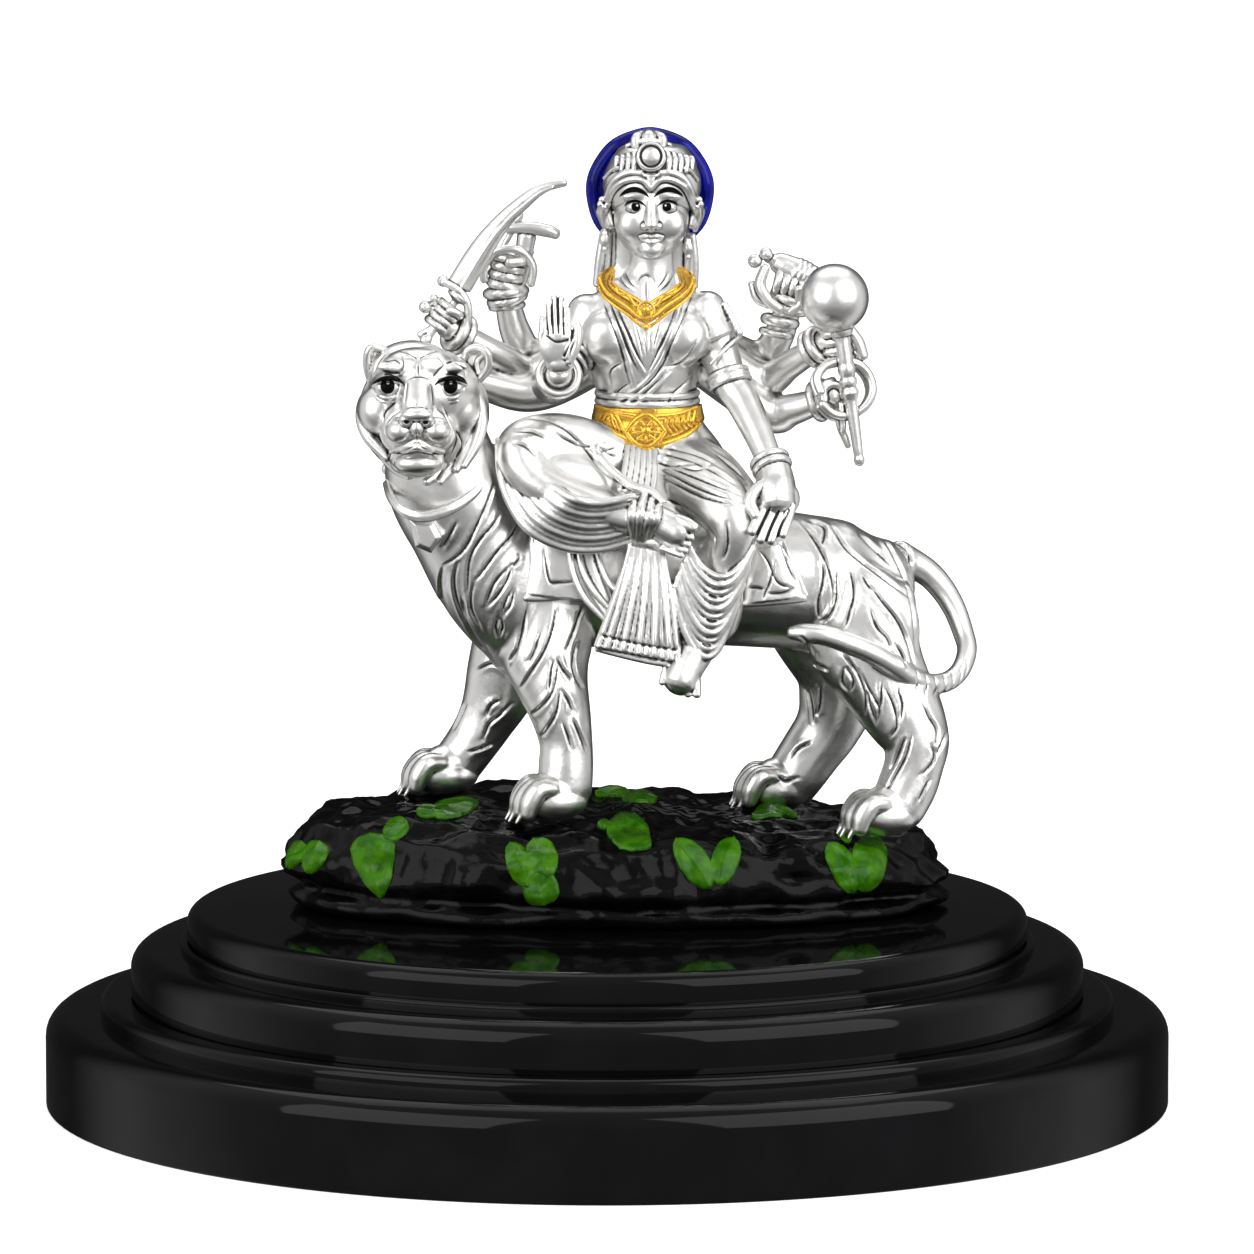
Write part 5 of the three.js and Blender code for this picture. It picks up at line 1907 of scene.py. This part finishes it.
VEIL = marks((648, 215, 1.6, 5.2, 3.0), (647, 250, 2.0, 5.9, 2.2), (646, 292, 1.4, 6.5, 2.0))
HAIR_BACK = [(0, 3.6, -2, 4.6, 2.4), (-0.4, 4.4, -12, 5.0, 1.4), (-0.6, 4.0, -22, 4.0, 1.2)]
VEIL_FOLDS = [
    ([(604, 232), (600, 258), (597, 284)], -0.6),
    ([(608, 232), (606, 258), (604, 282)], -0.2),
    ([(613, 232), (613, 256), (612, 276)], 0.4),
    ([(692, 236), (694, 260), (694, 286)], -0.6),
    ([(689, 236), (689, 260), (688, 282)], -0.2),
    ([(684, 236), (683, 256), (682, 276)], 0.4),
]
EARRINGS = ((605, 240), (688, 248))
HAIR_EDGES = ((-1, 606), (1, 695))


def hair_and_veil(bm):
    for side, edge in HAIR_EDGES:
        for row in range(3):
            out = side * 1.6 * row
            upper, lower = (edge + out, 196 + 4 * row), (edge + out, 230 - 3 * row)
            strand(bm, [upper, (edge + side * 3 + out, 212), lower], (-4.4 + row, -2.4 + row), 0.5)
        for i in range(5):
            turn = 2 * math.pi * i / 5
            u, v = edge + side * 2 + 4 * math.sin(turn), 203 + 4 * math.cos(turn)
            egg(bm, spot(u, v, -4.6), (0.42, 0.4, 0.42), detail=3)
    for fold, y in VEIL_FOLDS:
        strand(bm, fold, (y, y + 0.6), 0.62, 0.8)
    for u, v in EARRINGS:
        egg(bm, spot(u, v - 7, -2.6), (0.5, 0.5, 0.5), detail=3)
        egg(bm, spot(u, v, -2.8), (0.72, 0.6, 0.95), detail=3)
        egg(bm, spot(u, v + 9, -2.8), (0.4, 0.4, 0.5), detail=3)


def head_piece():
    under, bm = bmesh.new(), bmesh.new()
    face_shape(under)
    blended(bm, under, 0.24, 8)
    features(bm)
    under = bmesh.new()
    egg(under, CAP, CAP_HALF)
    egg(under, TIER, TIER_HALF)
    bangle(under, TIER + (0, 0, 1.2), (0, 0, 1), 3.3, 1.55, 48)
    roll(under, VEIL, 30, 24)
    along_head(under, HAIR_BACK, 30)
    blended(bm, under, 0.3, 6)
    crown(bm)
    hair_and_veil(bm)
    return melted("goddess_head", bm, None, 0.1, 2)

# %% Her painted eyes and brows


def painted_eyes(sheet, colour, shine):
    x, y, z = sheet.axes()
    x, z = x - FACE.x, z - FACE.z
    out = x.size()
    front = (FACE.y - 2.2 - y).step(0, 0.2)
    lid = arc_band(out, z, EYE_APART + 0.08, 1.45, 0.62, 0.0, 0.44)
    brow = arc_band(out, z, EYE_APART + 0.2, 1.9, 0.7, 1.2, 1.95)
    off_x, off_z = out - EYE_APART, z - 0.12
    iris = (0.6 - (off_x * off_x + off_z * off_z).power(0.5)).step(-0.05, 0.05)
    glint_x, glint_z = out - (EYE_APART - 0.16), z - 0.3
    glint = (0.12 - (glint_x * glint_x + glint_z * glint_z).power(0.5)).step(-0.04, 0.04)
    below_lid = (0.62 - z).step(-0.05, 0.05)
    mark_z = z - 2.0
    mark = (0.17 - (x * x + mark_z * mark_z).power(0.5)).step(-0.04, 0.04)
    black = (lid.most(brow).most(iris * below_lid).most(mark) * front) * (1 - glint)
    return sheet.mix(black, colour, BLACK_PAINT), 1 - black, shine * (1 - black) + 0.3 * black


head_silver = silver_sheet("silver plate with painted eyes", paint=painted_eyes)
head = head_piece()
head.data.materials.clear()
head.data.materials.append(head_silver)
mark_creases(head, 5)
finished(thinned(head, 125000))

# %% [markdown]
# ### Hands, and what they hold
# Each fist is an egg with four bent fingers and a thumb laid round the rod it holds. Everything
# held is turned, rolled or bent from wire, and soldered into the fists before plating.

# %% Hands


def grip(bm, centre, along, size=1.0, facing=(0, -1, 0)):
    """A fist round a rod: four fingers across its front and the thumb over them."""
    centre, along = Vector(centre), Vector(along).normalized()
    front = (Vector(facing) - along * Vector(facing).dot(along)).normalized()
    side = along.cross(front)

    def at(turn, far, rise_by):
        a = math.radians(turn)
        out = front * math.cos(a) + side * math.sin(a)
        return centre + (along * rise_by + out * far) * size

    egg(bm, centre, (1.75 * size, 1.6 * size, 1.75 * size), detail=3)
    for i in range(4):
        rise_by = 0.98 * (i - 1.5)
        arc = [at(turn, 1.5, rise_by) for turn in (-100, -45, 10, 65, 120)]
        roll(bm, [(*p, 0.56 * size) for p in arc], 12, 20)
    thumb = [at(turn, far, up) for turn, far, up in ((110, 1.5, 0.6), (50, 2.0, 1.5), (0, 2.0, 1.2))]
    roll(bm, [(*p, 0.55 * size) for p in thumb], 12, 12)


def wrist_rings(bm, arm, radius, gaps, wire):
    before, wrist = [Vector(p[:3]) for p in arm[-2:]]
    axis = (before - wrist).normalized()
    for gap in gaps:
        bangle(bm, wrist + axis * gap, axis, radius, wire)


PALM_Y = -18.2
PALM = [
    (spot(558, 345, PALM_Y), (2.3, 0.85, 2.9), 0),
    (spot(560, 363, PALM_Y + 0.3), (1.8, 1.0, 1.4), 0),
]
PALM_FINGER_ROOTS = [(543, 338), (549.5, 336), (556, 335), (562, 335), (568, 337)]
PALM_FINGER_TIPS = [(543, 318), (548, 306), (554, 298), (561, 299), (567, 309)]
PALM_THUMB = [(569, 362), (576, 347), (578, 333), (577, 326)]
PALM_EDGE = [(541, 334), (543, 350), (551, 364)]
PALM_CREASE = [(573, 340), (568, 348), (567, 358)]
RESTING_WRIST = [(774, 474), (776, 488), (777, 502)]
RESTING_BACK = spot(777, 498, -14.8)
RESTING_FINGER_ROOTS = [(764, 508), (773, 511), (783, 511), (792, 506)]
RESTING_FINGER_TIPS = [(752, 532), (761, 540), (771, 541), (783, 535)]
RESTING_THUMB = [(766, 482), (755, 491), (750, 503), (756, 516)]
SWORD_HAND = Vector((-20.7, -2.4, 75.8))
SWORD_HILT = Vector((4.4, 0.3, 5.8))
FISTS = [
    (SWORD_HAND, SWORD_HILT, 0.95),
    (spot(507, 271, 5.2), (0.2, -0.05, 1), 1.2),
    ((23.2, 5.2, 79.2), (1, 0, -0.25), 1.05),
    ((29.2, -1.2, 72.0), (-0.16, 0, 1), 1.15),
    ((28.6, -1.6, 65.6), (0.1, -1, 0.2), 0.95, (0, 0, 1)),
]
WRIST_BANGLES = [
    (spot(506, 292, 5.8), (-0.1, 0, 1), 2.35, 0.7),
    (spot(507, 306, 6.0), (-0.1, 0, 1), 1.95, 0.5),
    (spot(780, 321, 5.6), (0.2, 0, 1), 1.85, 0.75),
    (spot(776, 333, 5.6), (0.2, 0, 1), 1.8, 0.5),
]


def open_hand(bm):
    """The blessing hand: a flat palm to the front, its fingers closed and the thumb apart."""
    eggs(bm, PALM)
    sizes = (0.52, 0.52, 0.54, 0.54, 0.5)
    toes(bm, PALM_FINGER_ROOTS, PALM_FINGER_TIPS, (PALM_Y, PALM_Y + 0.4), sizes)
    strand(bm, PALM_THUMB, (PALM_Y - 0.3, PALM_Y), 0.62, 0.85)
    strand(bm, PALM_EDGE, (PALM_Y, PALM_Y + 0.2), 0.5, 0.7)
    strand(bm, PALM_CREASE, (PALM_Y - 0.5, PALM_Y - 0.6), 0.4, 0.5)


def resting_hand(bm):
    """The left hand on the thigh, its fingers to the front and inwards."""
    strand(bm, RESTING_WRIST, (-12.6, -14.4, -15.4), 2.5, 0.9, 20)
    egg(bm, RESTING_BACK, (2.9, 1.7, 2.7), tilt=20)
    sizes = (0.74, 0.78, 0.76, 0.68)
    toes(bm, RESTING_FINGER_ROOTS, RESTING_FINGER_TIPS, (-16.2, -17.6), sizes)
    strand(bm, RESTING_THUMB, (-15.4, -17.0), 0.8, 0.85)


def hands_piece():
    bm = bmesh.new()
    open_hand(bm)
    resting_hand(bm)
    wrist_rings(bm, ARMS["resting"], 2.1, (-0.2, -1.2), 0.55)
    wrist_rings(bm, ARMS["blessing"], 2.45, (0.6, 1.5), 0.5)
    for name in ("sword", "goad", "conch", "mace", "noose"):
        wrist_rings(bm, ARMS[name], 2.1, (-0.6, 0.6), 0.66)
        before, wrist = [Vector(p[:3]) for p in ARMS[name][-2:]]
        roll(bm, [(*wrist, 1.5), (*(wrist + (wrist - before).normalized() * 2), 1.5)], 20, 10)
    for fist in FISTS:
        grip(bm, *fist)
    for ring in WRIST_BANGLES:
        bangle(bm, *ring)
    return melted("hands", bm, silver, 0.1, 1)


FINGER_CUTS = [
    [(546, 306), (546.5, 320), (548, 334)],
    [(551.5, 300), (552, 318), (553, 333)],
    [(557.5, 296), (558, 316), (558.5, 333)],
    [(564, 300), (563.5, 318), (564, 334)],
    [(547, 336), (556, 342), (568, 340)],
    [(573, 330), (570, 344), (564, 356)],
    [(770, 508), (762, 524), (756, 537)],
    [(779, 511), (771, 527), (766, 541)],
    [(789, 510), (781, 526), (777, 540)],
]

hands = hands_piece()
cut(hands, FINGER_CUTS, 1.6, -0.22, blunt=True)
mark_creases(hands, 5)
finished(thinned(hands, 90000))

# %% What they hold
BLADE = [
    (460, 285, 12.8),
    (477.5, 256, 12.2),
    (491, 236, 10.5),
    (506, 218, 8.5),
    (522, 203.5, 7.5),
    (537, 191.5, 6),
    (550, 185.5, 5),
    (565, 182.8, 3.8),
]
BLADE_Y = -2.3
CROSS_GUARD = [(425, 307), (438, 311), (448, 316)]
KNUCKLE_BOW = [(443, 282), (458, 290), (467, 303), (468, 322), (462, 342)]
GUARD_BALLS = ((443, 281, 0.75), (425, 307, 0.8), (434, 298, 0.5))
GUARD_SCROLLS = (
    ([(420, 335), (434, 326), (438, 312)], 0.8),
    ([(425, 307), (440, 300)], 0.9),
)
HILT = [
    (0, 0.2), (0.05, 0.75), (0.12, 0.75), (0.18, 0.5), (0.85, 0.5), (0.9, 1.5), (0.96, 1.6),
    (1, 1.1),
]


def sword(bm):
    """A curved blade with a ridge along it, and a hilt with a bowed guard."""
    blade = [(u, v, BLADE_Y, w / PIXELS_TO_HUNDREDTH, 0.3 + w / 18) for u, v, w in BLADE]
    roll(bm, marks(*blade), 16, 60, dome=0.5)
    ridge_line = [(u + 2, v + 2) for u, v, _ in BLADE[:-1]]
    strand(bm, ridge_line, (BLADE_Y - 0.85, BLADE_Y - 0.5), 0.4, 0.6)
    strand(bm, CROSS_GUARD, (BLADE_Y, BLADE_Y), 0.6, 0.9)
    spun(bm, SWORD_HAND - SWORD_HILT * 0.62, SWORD_HAND + SWORD_HILT * 0.5, HILT)
    strand(bm, KNUCKLE_BOW, (BLADE_Y - 1, BLADE_Y), 0.55, 0.8)
    for u, v, size in GUARD_BALLS:
        egg(bm, spot(u, v, BLADE_Y - 0.4), (size,) * 3, detail=3)
    for line, taper in GUARD_SCROLLS:
        strand(bm, line, (BLADE_Y, BLADE_Y), 0.5, taper)


MACE_FOOT, MACE_HEAD = spot(860, 466, -3.6), spot(840, 322, -3.6)
MACE_BALL = spot(834.5, 298, -3.6)
MACE_HANDLE = [
    (0, 0.2), (0.015, 0.6), (0.05, 0.72), (0.07, 0.55), (0.1, 0.62), (0.46, 0.86), (0.49, 1.05),
    (0.51, 1.2), (0.53, 1.05), (0.55, 0.9), (0.57, 1.1), (0.6, 1.15), (0.62, 0.9), (0.65, 1.1),
    (0.68, 1.15), (0.71, 0.95), (0.74, 1.0), (0.9, 1.0), (0.91, 1.35), (0.94, 1.5), (0.97, 1.4),
    (1, 1.0),
]


def mace(bm):
    """A turned handle with rings, under a plain ball."""
    spun(bm, MACE_FOOT, MACE_HEAD, MACE_HANDLE, 40)
    egg(bm, MACE_BALL, (4.36,) * 3, detail=5)


NOOSE = [
    (825, 392), (821, 378), (829, 366), (845, 361), (862, 364), (873, 376), (876, 392), (868, 407),
    (853, 415), (838, 414), (826, 404),
]
NOOSE_ENDS = (
    ([(838, 412), (840, 426), (845, 438), (848, 446)], -2.6, 0.5, 0.7),
    ([(841, 404), (843, 424), (842, 432)], -3.2, 0.45, 0.7),
    ([(850, 330), (858, 342), (863, 356)], -2.4, 0.8, 0.8),
)


def noose(bm):
    """Two turns of a rope round an open middle, and its loose ends."""
    for shift, size in ((0, 0.62), (0.9, 0.5)):
        turn = [(u - 4 - shift * 4, v + shift * 3) for u, v in NOOSE]
        strand(bm, turn, (-4.4 + shift, -2 + shift, -4 + shift), size, 0.9)
    for line, y, radius, taper in NOOSE_ENDS:
        strand(bm, line, (y, y), radius, taper)


CONCH_TIP, CONCH_BASE = spot(764, 255, 5.2), spot(822, 285, 5.2)
CONCH = [
    (0, 0.3), (0.03, 0.6), (0.08, 0.75), (0.13, 0.7), (0.16, 0.9), (0.2, 1.25), (0.32, 1.5),
    (0.5, 1.75), (0.54, 1.95), (0.58, 1.85), (0.62, 2.0), (0.66, 1.88), (0.7, 2.0), (0.74, 1.85),
    (0.8, 1.9), (0.9, 1.5), (1, 0.6),
]
CONCH_BALLS = [
    (spot(766, 254, 4.6), (0.85, 0.85, 0.85), 0),
    (spot(755, 261, 4.8), (0.95, 0.8, 0.9), 0),
]
CONCH_STRAPS = (
    ([(752, 284), (757, 298), (768, 305)], (4.2, 3.8), 0.6),
    ([(765, 268), (760, 285), (768, 300), (780, 310)], (3.8, 3.2), 0.75),
    ([(781, 286), (795, 292), (800, 304), (790, 312)], (4, 3.4), 0.6),
)


def conch(bm):
    """A shell of swelling turns, and the straps that hold it."""
    spun(bm, CONCH_TIP, CONCH_BASE, CONCH, 40)
    eggs(bm, CONCH_BALLS, detail=3)
    for line, y, radius in CONCH_STRAPS:
        strand(bm, line, y, radius, 0.8)


GOAD_FOOT, GOAD_HEAD = spot(519, 285, 5.6), spot(527, 234, 5.6)
GOAD_SHAFT = [(0, 0.9), (0.3, 1.1), (0.62, 1.15), (0.66, 1.3), (0.7, 1.15), (0.96, 1.25), (1, 1.1)]
GOAD_LINES = (
    ([(508, 228), (530, 228), (548, 231), (556, 234)], (5.2, 5.2), 0.85, 0.7, 18),
    ([(514, 222), (519, 219), (521, 214)], (5.2, 5.2), 0.4, 0.8),
    ([(500, 253), (507, 240), (514, 228)], (5.6, 5.4), 0.4, 0.9),
    (
        [(484, 280), (484, 266), (494, 253), (510, 249), (525, 254), (533, 268), (531, 284)],
        (3.6, 3.0, 3.6),
        0.6,
        0.85,
    ),
)


def goad(bm):
    """A short shaft with a beak across its head, a spur and a bow over the fist."""
    spun(bm, GOAD_FOOT, GOAD_HEAD, GOAD_SHAFT, 32)
    for line in GOAD_LINES:
        strand(bm, *line)


def attributes_piece():
    bm = bmesh.new()
    for held in (sword, mace, noose, conch, goad):
        held(bm)
    return melted("attributes", bm, silver, 0.09, 1)


attributes = attributes_piece()
mark_creases(attributes, 5)
finished(thinned(attributes, 70000))

# %% [markdown]
# ### Halo, necklace and belt
# The halo is a dish with a gently waved rim, poured full of blue enamel. Necklace and belt are
# flat plates with raised and cut scrolls, brushed with gold paint once the silver was on.

# %% Halo
HALO = spot(650, 191, 3.2)
HALO_PROFILE = [
    (0, 7.2), (0.1, 7.9), (0.3, 8.15), (0.5, 8.2), (0.75, 8.0), (0.95, 7.4), (0.9, 6.9),
    (0.75, 6.5), (0.6, 3), (0.6, 0.1),
]
WAVES = 9


def halo_piece():
    bm = bmesh.new()
    spun(bm, HALO, (HALO[0], 0.9, HALO[2]), HALO_PROFILE, 240)
    bmesh.ops.subdivide_edges(bm, edges=bm.edges, cuts=1, use_grid_fill=True)
    for point in bm.verts:
        x, z = point.co.x - HALO[0], point.co.z - HALO[2]
        turn = math.atan2(x, z)
        wave = 0.5 - 0.5 * math.cos(WAVES * turn + 0.4 * math.sin(2 * turn))
        rim = max(0, min(1, (math.hypot(x, z) - 5.6) / 1.6))
        peak = max(0, 1 - abs(turn) / 0.2)
        grow = 1 + rim * (0.004 * peak - 0.012 * wave)
        point.co.x, point.co.z = HALO[0] + x * grow, HALO[2] + z * grow
        point.co.y += 0.3 * rim * wave
    mesh = bpy.data.meshes.new("halo")
    bm.to_mesh(mesh)
    bm.free()
    return show("halo", mesh, blue)


halo = halo_piece()
finished(halo)

# %% Necklace
NECKLACE = [
    (612, 269, -0.6, 0.35),
    (606, 280, -3.4, 0.95),
    (608, 289, -5.0, 1.05),
    (617, 297, -6.2, 1.1),
    (631, 306, -7.0, 1.2),
    (646, 316, -7.5, 1.5),
    (662, 306, -7.0, 1.2),
    (676, 297, -6.2, 1.1),
    (685, 289, -5.0, 1.05),
    (687, 280, -3.4, 0.95),
    (680, 269, -0.6, 0.35),
]


def beside_necklace(share, lift=0.36):
    """Marks along the necklace, at a share of its half-width out from its middle."""
    middle = np.array(NECKLACE)
    run = np.gradient(middle[:, :2], axis=0)
    out = np.stack([-run[:, 1], run[:, 0]], 1) / np.hypot(*run.T)[:, None]
    at = middle[:, :2] + out * (middle[:, 3] * share * PIXELS_TO_HUNDREDTH)[:, None]
    return [(*spot(u, v, y - lift), 0.22) for (u, v), y in zip(at, middle[:, 2])]


BOSS_U = 646
BOSS_RING, BOSS = spot(BOSS_U, 310, -8.4), spot(BOSS_U, 310, -8.3)
DROP = spot(BOSS_U, 327, -8.1)
SCROLL_BESIDE_BOSS = ((11, 306), (18, 296), (27, 293), (30, 288))


def necklace_piece():
    bm = bmesh.new()
    roll(bm, marks(*[(*mark, 0.4) for mark in NECKLACE]), 32, 90)
    for share in (-0.94, -0.5, 0.0, 0.5, 0.94):
        roll(bm, beside_necklace(share), 10, 90)
    bangle(bm, BOSS_RING, (0, 1, 0), 1.0, 0.2)
    egg(bm, BOSS, (0.6, 0.5, 0.6), detail=3)
    for i in range(7):
        ray_end = (BOSS_U - 10 + 3.4 * i, 313 - 4 * math.sin(math.pi * i / 6))
        strand(bm, [(BOSS_U, 321), ray_end], (-8.4, -8.4), 0.15, 0.8)
    for side in (-1, 1):
        scroll = [(BOSS_U + side * u, v) for u, v in SCROLL_BESIDE_BOSS]
        strand(bm, scroll, (-8.3, -7.6), 0.22, 0.8)
    egg(bm, DROP, (0.42, 0.45, 0.5), detail=3)
    return melted("necklace", bm, gold, 0.07, 1)

# %% Belt
WAIST = np.array((5.2, -1.9, 63))
WAIST_HALF = np.array((7.1, 6.4, 40))


def ridge(bm, pixels, radius, lift=0.5):
    """A raised line on the belt."""
    draped(bm, pixels, WAIST, WAIST_HALF, 1.35 * radius, lift, 0.7, 10)


BELT_TOP, BELT_FOOT = spot(598, 404, WAIST[1])[2], spot(591, 421, WAIST[1])[2]
BELT_PROFILE = [(0, 6.6), (0.04, 7.15), (0.2, 7.2), (0.8, 6.9), (0.96, 6.9), (1, 6.4)]
BELT_PLATE = [
    (601, 418, 0.9),
    (612, 422, 1.0),
    (628, 428, 1.3),
    (646, 433, 1.9),
    (664, 430, 1.4),
    (682, 424, 1.1),
    (696, 417, 0.9),
]
BELT_EDGES = [
    ([(597, 406), (612, 411), (628, 414), (650, 416), (676, 414), (697, 407)], 0.24),
    ([(595, 423), (606, 428), (624, 437), (646, 449)], 0.26),
    ([(700, 424), (686, 435), (665, 443), (646, 449)], 0.26),
]
BUCKLE = (646, 431)
BUCKLE_FRAME = [
    [(626, 432), (635, 420), (646, 415), (656, 420), (665, 431)],
    [(626, 432), (635, 443), (646, 447), (656, 442), (665, 431)],
]
BELT_DROPS = ((628, 441), (661, 445))


def buckle(bm):
    """A pointed frame round a boss, with nine rays between them."""
    for line in BUCKLE_FRAME:
        ridge(bm, line, 0.26, 0.9)
    egg(bm, upon(*BUCKLE, WAIST, WAIST_HALF + 0.5), (1.35, 0.55, 1.35))
    egg(bm, upon(*BUCKLE, WAIST, WAIST_HALF + 1.0), (0.6, 0.3, 0.6), detail=3)
    u, v = BUCKLE
    near, far = 6, 13
    for i in range(9):
        turn = 2 * math.pi * i / 9
        outer = (u + far * math.sin(turn) * 1.05, v + far * math.cos(turn) * 0.8)
        inner = (u + near * math.sin(turn), v + near * math.cos(turn))
        ridge(bm, [outer, inner], 0.17, 0.95)


def belt_scrolls(bm):
    """Three arches, one in another, left of the buckle, and six slanting bars right of it."""
    for i in range(3):
        inset = 4 * i
        foot, rise_to = (599 + inset, 419), (604 + inset, 413 + i)
        ridge(bm, [foot, rise_to, (616 - inset * 0.4, 415 + i * 3), (624 - inset, 432 - 2 * i)], 0.17)
    for i in range(6):
        top, middle = (668 + 5.4 * i, 414 - 0.5 * i), (666 + 5.4 * i, 424 - 0.5 * i)
        ridge(bm, [top, middle, (672 + 5 * i, 434 - 2 * i)], 0.17)


def belt_piece():
    bm, own = bmesh.new(), bmesh.new()
    spun(own, (0, 0, BELT_FOOT), (0, 0, BELT_TOP), BELT_PROFILE, 128)
    poured(own, bm, Matrix.Translation((WAIST[0], WAIST[1], 0)) @ Matrix.Diagonal((1, 0.9, 1, 1)))
    plate = [(*upon(u, v, WAIST, WAIST_HALF), radius, 0.5) for u, v, radius in BELT_PLATE]
    roll(bm, plate, 28, 70)
    for line, radius in BELT_EDGES:
        ridge(bm, line, radius)
    belt_scrolls(bm)
    buckle(bm)
    for u, v in BELT_DROPS:
        egg(bm, upon(u, v, WAIST, WAIST_HALF + 0.4), (0.45, 0.4, 0.6), detail=3)
    return melted("belt", bm, gold, 0.07, 1)


for adornment in (necklace_piece(), belt_piece()):
    mark_creases(adornment)
    finished(thinned(adornment, 30000))
    adornment.visible_glossy = False

# %% [markdown]
# ## Last step
# Each dressed piece hides the solid it stands for, so we print any solid that is still shown.
# The dressed figure has to keep to the solids' box.

# %% Finish
for name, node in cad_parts.items():
    if not node.hide_render:
        print("still shown from the solids:", name)
